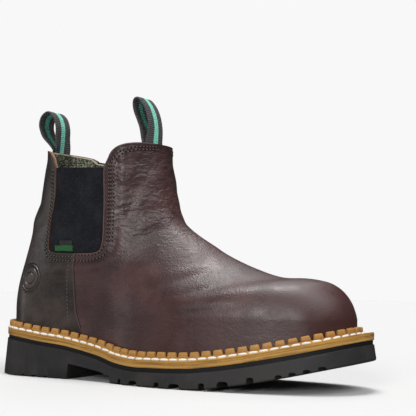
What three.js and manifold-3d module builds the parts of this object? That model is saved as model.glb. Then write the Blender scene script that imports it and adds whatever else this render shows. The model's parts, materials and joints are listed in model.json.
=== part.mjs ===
// Romeo boot, right foot. Millimetres, X to the toe, Y to the medial side, Z up.
import * as THREE from 'three';
import { mergeVertices } from 'three/addons/utils/BufferGeometryUtils.js';
import Module from 'manifold-3d';

const wasm = await Module();
wasm.setup();

// Driving dimensions
const lastLength = 291;
const ballWidth = 110;
const shaftWidth = 70;
const shaftHeight = 148;
const instepHeight = 150;
const heelHeight = 31;
const outsoleThickness = 14.6;
const toeSpring = 22.5;
const midsoleThickness = 2.9;
const weltThickness = 2.6;
const weltReach = 8.5;
const toeReach = 13;
const heelReach = 5.8;
const beadHeight = 5.8;
const beadWidth = 3.4;
const beadFoot = 1.1;
const toothPitch = 8.9;
const notchShare = 0.27;
const notchSlope = 0.05;
const notchDepth = 3.4;
const treadFlare = 1.6;
const heelFlare = 0.6;
const edgeBand = 3;
const edgeRecess = 0.8;
const treadOverhang = 2;
const linerWall = 2;
const vampStep = 1;
const elasticSink = 0.9;
const elasticThickness = 1.3;
const tagThickness = 0.7;
const insoleThickness = 4;
const insoleGap = 1.6;
const webThickness = 1.4;
const webWidth = 19.5;
const webTail = 14;
const clearance = 0.3;
const curvedClearance = 0.6;

// Each row is one station along the last; x is its share of the last's length from the heel.
// The sole's top side: shares of the heel height and of the outsole's thickness.
const deckRows = [
  { x: -0.02, heel: 1.0, fore: 0 },
  { x: 0.06, heel: 0.975, fore: 0 },
  { x: 0.153, heel: 0.88, fore: 0 },
  { x: 0.253, heel: 0.777, fore: 0 },
  { x: 0.346, heel: 0.45, fore: 0.365 },
  { x: 0.413, heel: 0.2, fore: 0.59 },
  { x: 0.512, heel: 0, fore: 0.905 },
  { x: 0.579, heel: 0, fore: 0.94 },
  { x: 0.68, heel: 0, fore: 1.02 },
  { x: 0.8, heel: 0, fore: 1.02 },
  { x: 1.03, heel: 0, fore: 1.0 },
];
// Where the tread lifts off the floor towards the toe, and how it curves.
const spring = { start: 0.64, end: 1.035, bend: 1.35 };
// The foot's half widths, shares of the ball width, before the section rounds them.
const footRows = [
  { x: 0, lateral: 0.37, medial: 0.37 },
  { x: 0.07, lateral: 0.375, medial: 0.375 },
  { x: 0.13, lateral: 0.325, medial: 0.32 },
  { x: 0.262, lateral: 0.282, medial: 0.275 },
  { x: 0.365, lateral: 0.305, medial: 0.275 },
  { x: 0.468, lateral: 0.39, medial: 0.325 },
  { x: 0.571, lateral: 0.445, medial: 0.41 },
  { x: 0.657, lateral: 0.462, medial: 0.455 },
  { x: 0.76, lateral: 0.475, medial: 0.485 },
  { x: 0.846, lateral: 0.505, medial: 0.515 },
  { x: 0.932, lateral: 0.57, medial: 0.58 },
  { x: 1.0, lateral: 0.6, medial: 0.61 },
];
// The toe's swing to the medial side, a share of the ball width.
const swingRows = [
  { x: 0.45, swing: 0 },
  { x: 0.75, swing: 0.015 },
  { x: 0.9, swing: 0.04 },
  { x: 1.0, swing: 0.06 },
];
// The leg's half widths, shares of the shaft width; height is a share of the shaft height.
const legRows = [
  { height: 0.1, lateral: 0.5, medial: 0.5 },
  { height: 0.43, lateral: 0.505, medial: 0.505 },
  { height: 0.64, lateral: 0.5, medial: 0.5 },
  { height: 0.87, lateral: 0.525, medial: 0.525 },
  { height: 1.0, lateral: 0.545, medial: 0.545 },
  { height: 1.15, lateral: 0.57, medial: 0.57 },
];
// Side outline of the front, from the toe up the instep to the collar; rise is a share of
// the instep height above the welt.
const frontRows = [
  { x: 0.984, rise: 0.03 },
  { x: 0.977, rise: 0.103 },
  { x: 0.965, rise: 0.167 },
  { x: 0.945, rise: 0.224 },
  { x: 0.92, rise: 0.266 },
  { x: 0.893, rise: 0.292 },
  { x: 0.86, rise: 0.314 },
  { x: 0.793, rise: 0.344 },
  { x: 0.71, rise: 0.42 },
  { x: 0.637, rise: 0.5 },
  { x: 0.6, rise: 0.547 },
  { x: 0.561, rise: 0.594 },
  { x: 0.53, rise: 0.637 },
  { x: 0.507, rise: 0.683 },
  { x: 0.491, rise: 0.753 },
  { x: 0.478, rise: 0.843 },
  { x: 0.468, rise: 0.939 },
  { x: 0.455, rise: 1.041 },
];
// Side outline of the leg above the collar, which closes the form, and down the back.
const backRows = [
  { x: 0.445, height: 1.2 },
  { x: 0.42, height: 1.6 },
  { x: 0.285, height: 1.8 },
  { x: 0.145, height: 1.6 },
  { x: 0.104, height: 1.2 },
  { x: 0.1, height: 0.96 },
  { x: 0.092, height: 0.88 },
  { x: 0.083, height: 0.776 },
  { x: 0.076, height: 0.697 },
  { x: 0.064, height: 0.645 },
  { x: 0.054, height: 0.592 },
  { x: 0.049, height: 0.52 },
  { x: 0.033, height: 0.396 },
  { x: 0.021, height: 0.311 },
  { x: 0.011, height: 0.225 },
  { x: 0.006, height: 0.12 },
  { x: 0.008, height: 0.03 },
];
// Gore slot, clockwise from its rear top corner.
const goreRows = [
  { x: 0.18, height: 0.851 },
  { x: 0.178, height: 0.724 },
  { x: 0.171, height: 0.645 },
  { x: 0.162, height: 0.54 },
  { x: 0.162, height: 0.424 },
  { x: 0.166, height: 0.408 },
  { x: 0.18, height: 0.401 },
  { x: 0.26, height: 0.396 },
  { x: 0.318, height: 0.4 },
  { x: 0.336, height: 0.412 },
  { x: 0.345, height: 0.445 },
  { x: 0.347, height: 0.593 },
  { x: 0.346, height: 0.73 },
  { x: 0.345, height: 0.841 },
];
// Top edges of the back tab and the front flap; the medial ones stand a little higher.
const tabRows = [
  { x: -0.05, lateral: 0.955, medial: 0.955 },
  { x: 0.115, lateral: 0.952, medial: 0.952 },
  { x: 0.145, lateral: 0.938, medial: 0.945 },
  { x: 0.166, lateral: 0.905, medial: 0.936 },
];
const flapRows = [
  { x: 0.356, lateral: 0.88, medial: 0.9 },
  { x: 0.364, lateral: 0.911, medial: 0.93 },
  { x: 0.378, lateral: 0.936, medial: 0.95 },
  { x: 0.4, lateral: 0.954, medial: 0.962 },
  { x: 0.428, lateral: 0.965, medial: 0.97 },
  { x: 0.45, lateral: 0.966, medial: 0.967 },
  { x: 0.55, lateral: 0.962, medial: 0.962 },
];
// How much higher the gore ends at its rear and its front top corner than in its rows.
const goreLift = {
  lateral: { rear: 0, front: 0 },
  medial: { rear: 0.07, front: 0.02 },
};
const goreTopGap = 0.004;
// Seam between rear quarter and vamp, from the gore down to the welt.
const seamRows = [
  { x: 0.26, height: 0.41 },
  { x: 0.252, height: 0.336 },
  { x: 0.2525, height: 0.206 },
  { x: 0.258, height: 0.094 },
  { x: 0.276, height: 0.0 },
  { x: 0.3, height: -0.2 },
];
// Tread notches: centre, width as shares of the last's length, height as one of the outsole.
const treadRows = [
  { x: 0.115, width: 0.008, height: 0.1 },
  { x: 0.152, width: 0.019, height: 0.1 },
  { x: 0.191, width: 0.01, height: 0.1 },
  { x: 0.438, width: 0.01, height: 0.27 },
  { x: 0.483, width: 0.025, height: 0.25 },
  { x: 0.556, width: 0.014, height: 0.27 },
  { x: 0.605, width: 0.03, height: 0.25 },
  { x: 0.677, width: 0.015, height: 0.3 },
  { x: 0.73, width: 0.028, height: 0.28 },
  { x: 0.796, width: 0.018, height: 0.3 },
  { x: 0.862, width: 0.012, height: 0.2 },
  { x: 0.893, width: 0.012, height: 0.2 },
  { x: 0.924, width: 0.012, height: 0.2 },
  { x: 0.955, width: 0.012, height: 0.2 },
];
const treadInset = 15;
// Waist recess behind the forefoot; height is a share of the heel height.
const waistRows = [
  { x: 0.252, height: -0.2 },
  { x: 0.257, height: 0.375 },
  { x: 0.358, height: 0.242 },
  { x: 0.4, height: 0.15 },
  { x: 0.408, height: -0.2 },
];
// Pull loops: run along X and rise, shares of the loop's height, from front foot to back foot.
const loopRows = {
  back: [
    { run: 0, rise: 0 },
    { run: 0.03, rise: 0.3 },
    { run: 0.03, rise: 0.62 },
    { run: -0.07, rise: 0.88 },
    { run: -0.24, rise: 1 },
    { run: -0.42, rise: 0.9 },
    { run: -0.49, rise: 0.68 },
    { run: -0.39, rise: 0.38 },
    { run: -0.18, rise: 0.12 },
    { run: -0.09, rise: 0 },
  ],
  front: [
    { run: 0, rise: 0 },
    { run: 0.01, rise: 0.33 },
    { run: -0.05, rise: 0.62 },
    { run: -0.17, rise: 0.86 },
    { run: -0.32, rise: 1 },
    { run: -0.4, rise: 0.95 },
    { run: -0.4, rise: 0.76 },
    { run: -0.28, rise: 0.46 },
    { run: -0.14, rise: 0.14 },
    { run: -0.09, rise: 0 },
  ],
};
const loopHeight = { back: 31.5, front: 34.4 };
const loopFoot = { back: 0.962, front: 0.978 };
const loopOff = { back: 0, front: -6.5 };
// The loop's second end and the foot of its eye, shares of the loop's height
const loopReturn = 0.09;
const loopEyeFoot = 0.12;
// The webbing follows the wall at its foot and flattens above
const loopFlattening = 0.85;
const loopFlatFrom = 0.4;
// Cloth tag, clockwise from its lower rear corner
const tagRows = [
  { x: 0.187, height: 0.413 },
  { x: 0.247, height: 0.408 },
  { x: 0.247, height: 0.468 },
  { x: 0.187, height: 0.473 },
];
// Where the vamp's outline crosses the gore slot, and its far lower corner
const vampStart = { x: 0.3, height: 0.43 };
const vampEnd = { x: 1.1, height: -0.3 };

// Mesh fineness
const ringSteps = 14;
const toeRings = 8;
const soleRings = 17;
const heelRings = 8;
const shaftRings = 3;
const plateSteps = 44;
const webSteps = 4;

// Section form: how square the front and the back of the last are
const square = { front: 2.6, back: 3.0, leg: 3.4 };
const hub = { x: 0.33, height: 0.09 };
const fan = { x: 0.71, height: 0.77 };
const blend = { low: 0.09, high: 0.52 };
const closedTop = 1.1;
const cutPast = 8;
const sideGap = 4;

// Smooth curve through one column of a table, flat at its highs and lows
function curve(rows, key, column) {
  const xs = rows.map((row) => row[key]);
  const ys = rows.map((row) => row[column]);
  const count = xs.length;
  const chords = [];
  for (let i = 0; i < count - 1; i += 1) {
    chords.push((ys[i + 1] - ys[i]) / (xs[i + 1] - xs[i]));
  }
  const slopes = ys.map((_, i) => {
    const before = chords[Math.max(i - 1, 0)];
    const after = chords[Math.min(i, count - 2)];
    return before * after <= 0 ? 0 : (2 * before * after) / (before + after);
  });
  return (at) => {
    if (at <= xs[0]) return ys[0];
    if (at >= xs[count - 1]) return ys[count - 1];
    let i = 0;
    while (at > xs[i + 1]) i += 1;
    const span = xs[i + 1] - xs[i];
    const t = (at - xs[i]) / span;
    const a = 2 * t * t * t - 3 * t * t + 1;
    const b = t * t * t - 2 * t * t + t;
    const c = -2 * t * t * t + 3 * t * t;
    const d = t * t * t - t * t;
    return a * ys[i] + b * span * slopes[i] + c * ys[i + 1] + d * span * slopes[i + 1];
  };
}

const along = (share) => (share - 0.5) * lastLength;
const shareAt = (x) => x / lastLength + 0.5;

const deckHeel = curve(deckRows, 'x', 'heel');
const deckFore = curve(deckRows, 'x', 'fore');
function tread(x) {
  const t = (shareAt(x) - spring.start) / (spring.end - spring.start);
  return toeSpring * THREE.MathUtils.clamp(t, 0, 1) ** spring.bend;
}
function deck(x) {
  const share = shareAt(x);
  return deckHeel(share) * heelHeight + deckFore(share) * outsoleThickness + tread(x);
}
const seat = (x) => deck(x) + midsoleThickness;
const weltTop = (x) => seat(x) + weltThickness;
const legBase = weltTop(along(0));
const up = (height) => legBase + height * shaftHeight;

// Side outline as distance from the hub at each angle
function sideOutline() {
  const front = frontRows.map((row) => {
    const x = along(row.x);
    return new THREE.Vector3(x, weltTop(x) + row.rise * instepHeight, 0);
  });
  const back = backRows.map((row) => new THREE.Vector3(along(row.x), up(row.height), 0));
  const path = new THREE.CatmullRomCurve3([...front, ...back], false, 'centripetal');
  const points = path.getPoints(320);
  const centre = { x: along(hub.x), z: up(hub.height) };
  const table = points.map((point) => ({
    angle: Math.atan2(point.y - centre.z, point.x - centre.x),
    reach: Math.hypot(point.x - centre.x, point.y - centre.z),
  }));
  const shown = table.filter((row) => row.angle > -0.2);
  const turned = table.filter((row) => row.angle < -2.9);
  turned.forEach((row) => { row.angle += 2 * Math.PI; });
  return { centre, table: [...shown, ...turned] };
}
const { centre: hubPoint, table: reachTable } = sideOutline();

function reachAt(angle) {
  let low = 0;
  let high = reachTable.length - 1;
  while (high - low > 1) {
    const middle = (low + high) >> 1;
    if (reachTable[middle].angle <= angle) low = middle;
    else high = middle;
  }
  const a = reachTable[low];
  const b = reachTable[high];
  const t = (angle - a.angle) / (b.angle - a.angle);
  return a.reach + (b.reach - a.reach) * t;
}
const frontReach = reachAt(0);
const backReach = reachAt(Math.PI);

// Share of the way from the hub to the side outline; below the hub the outline is upright
function depth(x, z) {
  const run = x - hubPoint.x;
  const rise = z - hubPoint.z;
  if (rise <= 0) return Math.abs(run) / (run > 0 ? frontReach : backReach);
  return Math.hypot(run, rise) / reachAt(Math.atan2(rise, run));
}

const footWidth = { lateral: curve(footRows, 'x', 'lateral'), medial: curve(footRows, 'x', 'medial') };
const legWidth = { lateral: curve(legRows, 'height', 'lateral'), medial: curve(legRows, 'height', 'medial') };
const swingAt = curve(swingRows, 'x', 'swing');
const centreLine = (x) => swingAt(shareAt(x)) * ballWidth;

function fullWidth(x, z, side) {
  const height = (z - legBase) / shaftHeight;
  const t = THREE.MathUtils.smoothstep(height, blend.low, blend.high);
  const foot = footWidth[side](shareAt(x)) * ballWidth;
  return foot + (legWidth[side](height) * shaftWidth - foot) * t;
}

function squareness(x, z) {
  const run = x - hubPoint.x;
  const turn = run / Math.max(Math.hypot(run, z - hubPoint.z), 1);
  const foot = square.back + ((square.front - square.back) * (1 + turn)) / 2;
  const t = THREE.MathUtils.smoothstep((z - legBase) / shaftHeight, blend.high, 1);
  return foot + (square.leg - foot) * t * Math.max(turn, 0) ** 0.5;
}

// Half width of the upper at a point of its side view
function halfWidth(x, z, side) {
  const inside = 1 - depth(x, z) ** squareness(x, z);
  return inside > 0 ? fullWidth(x, z, side) * Math.sqrt(inside) : 0;
}

function field(x, y, z) {
  const off = y - centreLine(x);
  const side = off < 0 ? 'lateral' : 'medial';
  return (off / fullWidth(x, z, side)) ** 2 + depth(x, z) ** squareness(x, z) - 1;
}

function normalAt(x, y, z) {
  const e = 0.05;
  return new THREE.Vector3(
    field(x + e, y, z) - field(x - e, y, z),
    field(x, y + e, z) - field(x, y - e, z),
    field(x, y, z + e) - field(x, y, z - e),
  ).normalize();
}

function bisect(inside, outside, isOutside) {
  let a = inside;
  let b = outside;
  for (let i = 0; i < 40; i += 1) {
    const middle = (a + b) / 2;
    if (isOutside(middle)) b = middle;
    else a = middle;
  }
  return (a + b) / 2;
}

// Closed body from rings of equal size; doubled corners are dropped
function solidFrom(points, faces) {
  const geometry = new THREE.BufferGeometry();
  geometry.setAttribute('position', new THREE.Float32BufferAttribute(points.flat(), 3));
  geometry.setIndex(faces.flat());
  return toSolid(geometry);
}

function toSolid(geometry) {
  const bare = geometry.clone();
  bare.deleteAttribute('normal');
  bare.deleteAttribute('uv');
  const merged = mergeVertices(bare, 1e-4);
  const index = Array.from(merged.index.array);
  const kept = [];
  for (let i = 0; i < index.length; i += 3) {
    const [a, b, c] = index.slice(i, i + 3);
    if (a !== b && b !== c && a !== c) kept.push(a, b, c);
  }
  return new wasm.Manifold(new wasm.Mesh({
    numProp: 3,
    vertProperties: new Float32Array(merged.attributes.position.array),
    triVerts: new Uint32Array(kept),
  }));
}

function loft(rings, closeEnds, crossed = []) {
  const count = rings[0].length;
  const points = rings.flat();
  const faces = [];
  for (let i = 0; i < rings.length - 1; i += 1) {
    for (let j = 0; j < count; j += 1) {
      const a = i * count + j;
      const b = i * count + ((j + 1) % count);
      if (crossed.includes(j)) faces.push([a, b, a + count], [b, b + count, a + count]);
      else faces.push([a, b, b + count], [a, b + count, a + count]);
    }
  }
  if (closeEnds) {
    const last = (rings.length - 1) * count;
    for (let j = 1; j < count - 1; j += 1) {
      faces.push([0, j + 1, j]);
      faces.push([last, last + j, last + j + 1]);
    }
  }
  return solidFrom(points, faces);
}

// Lines across the side view from the bottom or back to the front
function sideLines(drop, top) {
  const floorAt = (x) => seat(x) + clearance - drop;
  const tip = hubPoint.x + frontReach;
  const heel = hubPoint.x - backReach;
  const pivot = { x: along(fan.x), z: up(fan.height) };
  const lines = [];
  const addLine = (from, to) => {
    const t = bisect(0, 1, (s) => depth(from.x + (to.x - from.x) * s, from.z + (to.z - from.z) * s) > 1);
    lines.push({ from, to: { x: from.x + (to.x - from.x) * t, z: from.z + (to.z - from.z) * t } });
  };
  for (let i = 0; i < toeRings; i += 1) {
    const x = pivot.x + (tip - pivot.x) * Math.cos((i / toeRings) * (Math.PI / 2));
    if (i === 0) lines.push({ from: { x: tip, z: floorAt(tip) }, to: { x: tip, z: hubPoint.z } });
    else addLine({ x, z: floorAt(x) }, { x, z: pivot.z });
  }
  for (let i = 0; i <= soleRings; i += 1) {
    const x = heel + (pivot.x - heel) * (1 - i / soleRings) ** 1.7;
    addLine({ x, z: floorAt(x) }, pivot);
  }
  const backAt = (z) => bisect(hubPoint.x, hubPoint.x - 2 * backReach, (x) => depth(x, z) > 1);
  const low = floorAt(heel);
  for (let i = 1; i <= heelRings; i += 1) {
    const z = low + ((pivot.z - low) * i) / heelRings;
    addLine({ x: backAt(z), z }, pivot);
  }
  for (let i = 1; i <= shaftRings; i += 1) {
    const z = pivot.z + ((top - pivot.z) * i) / shaftRings;
    addLine({ x: backAt(z), z }, { x: pivot.x, z });
  }
  return lines;
}

// The last's form grown or shrunk by offset: the upper, its lining side and all that follows it
function skin(offset, drop, top) {
  const rings = sideLines(drop, top).map((line, index) => {
    const sides = { lateral: [], medial: [] };
    for (let i = 0; i <= ringSteps; i += 1) {
      const t = (1 - Math.cos((Math.PI * i) / ringSteps)) / 2;
      const x = line.from.x + (line.to.x - line.from.x) * t;
      const z = line.from.z + (line.to.z - line.from.z) * t;
      const onCentre = i === ringSteps || index === 0 || (i === 0 && depth(x, z) > 0.9999);
      for (const side of ['lateral', 'medial']) {
        const out = onCentre ? 0 : halfWidth(x, z, side);
        const y = centreLine(x) + (side === 'lateral' ? -out : out);
        const normal = onCentre ? normalAt(x, centreLine(x), z) : normalAt(x, y, z);
        if (onCentre) normal.setY(0).normalize();
        if (z <= hubPoint.z) normal.setZ(0).normalize();
        sides[side].push([x + normal.x * offset, y + normal.y * offset, z + normal.z * offset]);
      }
    }
    return [...sides.lateral, ...sides.medial.slice(0, -1).reverse()];
  });
  return loft(rings, true);
}

// A side-view outline pushed through from one side of the boot
function sideCut(outline, from, to) {
  const shape = new THREE.Shape(outline.map((point) => new THREE.Vector2(point.x, point.z)));
  const geometry = new THREE.ExtrudeGeometry(shape, { depth: to - from, bevelEnabled: false });
  geometry.rotateX(Math.PI / 2);
  geometry.translate(0, to, 0);
  return toSolid(geometry);
}

function sidePoints(rows) {
  return rows.map((row) => ({ x: along(row.x), z: up(row.height) }));
}

// Moves a closed outline inwards or outwards by the same amount all round
function offsetOutline(points, out) {
  const count = points.length;
  let area = 0;
  points.forEach((point, i) => {
    const next = points[(i + 1) % count];
    area += point.x * next.z - next.x * point.z;
  });
  const turn = area > 0 ? 1 : -1;
  return points.map((point, i) => {
    const before = points[(i + count - 1) % count];
    const after = points[(i + 1) % count];
    const a = new THREE.Vector2(point.x - before.x, point.z - before.z).normalize();
    const b = new THREE.Vector2(after.x - point.x, after.z - point.z).normalize();
    const normal = new THREE.Vector2(a.y + b.y, -a.x - b.x).normalize();
    const stretch = 1 / Math.max(normal.dot(new THREE.Vector2(a.y, -a.x)), 0.5);
    const shift = out * turn * stretch;
    return { x: point.x + normal.x * shift, z: point.z + normal.y * shift };
  });
}

function gorePoints(side, lower) {
  const outline = sidePoints(goreRows);
  outline[0].z = up(goreRows[0].height + goreLift[side].rear - lower);
  outline.at(-1).z = up(goreRows.at(-1).height + goreLift[side].front - lower);
  return outline;
}

function topline(side) {
  const slot = gorePoints(side, 0);
  const tab = tabRows.map((row) => ({ x: along(row.x), z: up(row[side]) }));
  const flap = flapRows.map((row) => ({ x: along(row.x), z: up(row[side]) }));
  const above = up(closedTop) + 2 * cutPast;
  const sky = [{ x: flap.at(-1).x, z: above }, { x: tab[0].x, z: above }];
  return [...tab, ...slot, ...flap, ...sky];
}

function upperSolid() {
  const top = up(closedTop);
  const above = top + 2 * cutPast;
  const ahead = [
    { x: along(vampStart.x), z: above },
    { x: along(vampStart.x), z: up(vampStart.height) },
    ...sidePoints(seamRows),
    { x: along(vampEnd.x), z: up(vampEnd.height) },
    { x: along(vampEnd.x), z: above },
  ];
  const vamp = skin(vampStep, 0, top).intersect(sideCut(ahead, -ballWidth, ballWidth));
  const shell = skin(0, 0, top).add(vamp);
  return shell
    .subtract(skin(-linerWall, cutPast, top + cutPast))
    .subtract(sideCut(topline('lateral'), -ballWidth, 0))
    .subtract(sideCut(topline('medial'), 0, ballWidth));
}

function goreSolid(side) {
  const panel = offsetOutline(gorePoints(side, goreTopGap), -clearance);
  const span = side === 'lateral' ? [-ballWidth, -sideGap] : [sideGap, ballWidth];
  const top = up(closedTop);
  return skin(-elasticSink, 0, top)
    .intersect(sideCut(panel, ...span))
    .subtract(skin(-elasticSink - elasticThickness, cutPast, top + cutPast));
}

// Footprint of the upper on its welt, a closed run of stations; 0 heel, 0.5 toe
function footprintTable() {
  const heel = hubPoint.x - backReach;
  const tip = hubPoint.x + frontReach;
  const fine = 240;
  const half = (side) => {
    const points = [];
    for (let i = 0; i <= fine; i += 1) {
      const x = (heel + tip) / 2 - ((tip - heel) / 2) * Math.cos((i / fine) * Math.PI);
      const out = i === 0 || i === fine ? 0 : halfWidth(x, hubPoint.z, side);
      points.push(new THREE.Vector2(x, centreLine(x) + (side === 'lateral' ? -out : out)));
    }
    return points;
  };
  return { lateral: half('lateral'), medial: half('medial') };
}
const footprint = footprintTable();

function walk(points) {
  const lengths = [0];
  for (let i = 1; i < points.length; i += 1) {
    lengths.push(lengths[i - 1] + points[i].distanceTo(points[i - 1]));
  }
  return lengths;
}
const walks = { lateral: walk(footprint.lateral), medial: walk(footprint.medial) };
const footprintGirth = walks.lateral.at(-1) + walks.medial.at(-1);

// Point at a share of the way round, moved out by a distance
function around(share, out) {
  const turn = ((share % 1) + 1) % 1;
  const side = turn <= 0.5 ? 'lateral' : 'medial';
  const t = side === 'lateral' ? turn * 2 : 2 - turn * 2;
  const points = footprint[side];
  const lengths = walks[side];
  const target = t * lengths.at(-1);
  let i = 0;
  while (i < points.length - 2 && lengths[i + 1] < target) i += 1;
  const along01 = (target - lengths[i]) / (lengths[i + 1] - lengths[i]);
  const place = points[i].clone().lerp(points[i + 1], along01);
  const tangentAt = (k) => points[Math.min(k + 1, points.length - 1)].clone().sub(points[Math.max(k - 1, 0)]);
  let tangent = tangentAt(i).normalize().lerp(tangentAt(i + 1).normalize(), along01);
  if (t === 0 || t === 1) tangent = new THREE.Vector2(0, t === 0 ? -1 : 1);
  if (side === 'medial' && (t === 0 || t === 1)) tangent.multiplyScalar(-1);
  const normal = side === 'lateral'
    ? new THREE.Vector2(tangent.y, -tangent.x)
    : new THREE.Vector2(-tangent.y, tangent.x);
  normal.normalize();
  return place.addScaledVector(normal, out);
}

// Plate with the footprint's outline; its levels run from the bottom up, each with its own
// reach and height
function plate(levels) {
  const rings = [];
  for (let i = 0; i <= plateSteps; i += 1) {
    const share = i / plateSteps / 2;
    const corner = (at, level) => {
      const point = around(at, level.reach(at));
      return [point.x, point.y, level.height(point.x)];
    };
    const medial = levels.map((level) => corner(1 - share, level));
    const lateral = levels.map((level) => corner(share, level));
    rings.push([lateral[0], ...medial, ...lateral.slice(1).reverse()]);
  }
  return loft(rings, false, [levels.length]);
}

// How far the sole reaches out from the footprint: most at the toe, least at the heel
function reachOut(share) {
  const turn = Math.cos(share * 2 * Math.PI);
  const end = turn < 0 ? toeReach : heelReach;
  return weltReach + (end - weltReach) * turn ** 4;
}

function outsoleSolid() {
  const heelShare = (share) => Math.max(0, Math.cos(share * 2 * Math.PI)) ** 4;
  const flared = (share) => reachOut(share) + treadFlare + heelFlare * heelShare(share);
  const drawnIn = (share) => reachOut(share) - edgeRecess;
  const bandFoot = (x) => deck(x) - edgeBand;
  let sole = plate([
    { reach: flared, height: tread },
    { reach: reachOut, height: bandFoot },
    { reach: drawnIn, height: bandFoot },
    { reach: drawnIn, height: deck },
  ]);
  const recess = waistRows.map((row) => ({ x: along(row.x), z: row.height * heelHeight }));
  sole = sole.subtract(sideCut(recess, -ballWidth, ballWidth));
  for (const row of treadRows) {
    const width = row.width * lastLength;
    const x = along(row.x);
    const height = row.height * outsoleThickness;
    for (const at of [row.x / 2, 1 - row.x / 2]) {
      const edge = around(at, 0).y;
      const cut = new THREE.BoxGeometry(width, 2 * treadInset, 2 * height);
      cut.translate(x, edge + Math.sign(edge) * (weltReach + treadOverhang), tread(x));
      sole = sole.subtract(toSolid(cut));
    }
  }
  return sole;
}

function weltSolid() {
  const teeth = Math.round(footprintGirth / toothPitch);
  const standOff = vampStep + curvedClearance;
  const rings = [];
  for (let i = 0; i < teeth; i += 1) {
    const half = (1 - notchShare) / 2;
    const steps = [[-half, 0], [half, 0], [half + notchSlope, 1], [1 - half - notchSlope, 1]];
    for (const [step, notched] of steps) {
      const share = (i + 0.5 + step) / teeth;
      const top = weltThickness + beadHeight - (notched ? notchDepth : 0);
      const section = [
        [standOff, top],
        [standOff + beadWidth, top],
        [Math.min(standOff + beadWidth + beadFoot, reachOut(share) - beadFoot), weltThickness],
        [reachOut(share), weltThickness],
        [reachOut(share), clearance],
        [standOff, clearance],
      ];
      rings.push(section.map(([out, height]) => {
        const point = around(share, out);
        return [point.x, point.y, seat(point.x) + height];
      }));
    }
  }
  rings.push(rings[0]);
  return loft(rings, false);
}

// X of the lining side of the shaft at a distance off the centre line
function shaftInside(end, off, z) {
  const away = end === 'front' ? 1 : -1;
  const x = bisect(hubPoint.x, hubPoint.x + away * 2 * backReach, (at) => field(at, off, z) > 0);
  return x - (away * linerWall) / Math.abs(normalAt(x, off, z).x);
}

function pullLoop(end) {
  const foot = up(loopFoot[end]);
  const size = loopHeight[end];
  const away = end === 'front' ? 1 : -1;
  const wallX = (z) => shaftInside(end, loopOff[end], z) - away * (curvedClearance + webThickness);
  const start = wallX(foot) + (end === 'front' ? webThickness / 2 : size * loopReturn - webThickness / 2);
  const middle = loopRows[end].map((row) => new THREE.Vector3(start + row.run * size, foot + row.rise * size, 0));
  const path = new THREE.CatmullRomCurve3(middle, false, 'centripetal').getPoints(20);
  const side = (out) => path.map((point, i) => {
    const before = path[Math.max(i - 1, 0)];
    const after = path[Math.min(i + 1, path.length - 1)];
    const tangent = after.clone().sub(before).normalize();
    return new THREE.Vector2(point.x + tangent.y * out, point.y - tangent.x * out);
  });
  const outer = side(webThickness / 2);
  const inner = side(-webThickness / 2);
  const tailFoot = foot - webTail;
  const lean = wallX(tailFoot) - wallX(foot);
  const left = outer[outer.length - 1];
  const right = outer[0];
  outer.push(new THREE.Vector2(left.x + lean, tailFoot), new THREE.Vector2(right.x + lean, tailFoot));
  const shape = new THREE.Shape(outer);
  const eye = inner.filter((point) => point.y > foot + loopEyeFoot * size);
  shape.holes.push(new THREE.Path(eye));
  const geometry = new THREE.ExtrudeGeometry(shape, { depth: webWidth, steps: webSteps, bevelEnabled: false });
  geometry.rotateX(Math.PI / 2);
  geometry.translate(0, loopOff[end] + webWidth / 2, 0);
  const place = geometry.attributes.position;
  for (let i = 0; i < place.count; i += 1) {
    const level = Math.min(place.getZ(i), foot);
    const bend = shaftInside(end, place.getY(i), level) - shaftInside(end, loopOff[end], level);
    const flat = THREE.MathUtils.smoothstep(place.getZ(i), foot, foot + loopFlatFrom * size);
    place.setX(i, place.getX(i) + bend * (1 - loopFlattening * flat));
  }
  return toSolid(geometry);
}

function tagSolid() {
  const under = -elasticSink + clearance;
  const top = up(closedTop);
  return skin(under + tagThickness, 0, top)
    .intersect(sideCut(sidePoints(tagRows), -ballWidth, -sideGap))
    .subtract(skin(under, cutPast, top + cutPast));
}

const group = new THREE.Group();

function addPiece(name, solid, color, roughness) {
  const mesh = solid.getMesh();
  const geometry = new THREE.BufferGeometry();
  geometry.setAttribute('position', new THREE.BufferAttribute(new Float32Array(mesh.vertProperties), 3));
  geometry.setIndex(new THREE.BufferAttribute(new Uint32Array(mesh.triVerts), 1));
  const material = new THREE.MeshStandardMaterial({ color, roughness, metalness: 0 });
  const piece = new THREE.Mesh(geometry, material);
  piece.name = name;
  group.add(piece);
}

function midsoleSolid() {
  return plate([
    { reach: reachOut, height: (x) => deck(x) + clearance },
    { reach: reachOut, height: seat },
  ]);
}

function insoleSolid() {
  const inside = () => -linerWall - insoleGap;
  return plate([
    { reach: inside, height: (x) => seat(x) + clearance },
    { reach: inside, height: (x) => seat(x) + clearance + insoleThickness },
  ]);
}

addPiece('outsole', outsoleSolid(), 0x2b2a2a, 0.75);
addPiece('midsole', midsoleSolid(), 0xc49a5c, 0.6);
addPiece('welt', weltSolid(), 0xb98744, 0.6);
addPiece('insole', insoleSolid(), 0x55503f, 0.9);
addPiece('upper', upperSolid(), 0x3b2522, 0.45);
addPiece('gore_lateral', goreSolid('lateral'), 0x1d1e26, 0.9);
addPiece('gore_medial', goreSolid('medial'), 0x1d1e26, 0.9);
addPiece('label_tag', tagSolid(), 0x2f7a3a, 0.8);
addPiece('pull_loop_back', pullLoop('back'), 0x35343a, 0.85);
addPiece('pull_loop_front', pullLoop('front'), 0x35343a, 0.85);

// The origin lies under the middle of the boot's box
const box = new THREE.Box3().setFromObject(group);
group.position.set(-(box.min.x + box.max.x) / 2, -(box.min.y + box.max.y) / 2, -box.min.z);

export default group;
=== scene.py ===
"""Right romeo boot: brown leather, elastic gores, webbing loops, tan storm welt, lugged sole.
The boot's own sizes are in millimetres, X to the toe, Y to the inner side, Z up."""
import json
import math
import bmesh
import bpy
import numpy as np
from mathutils import Matrix, Vector

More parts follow.
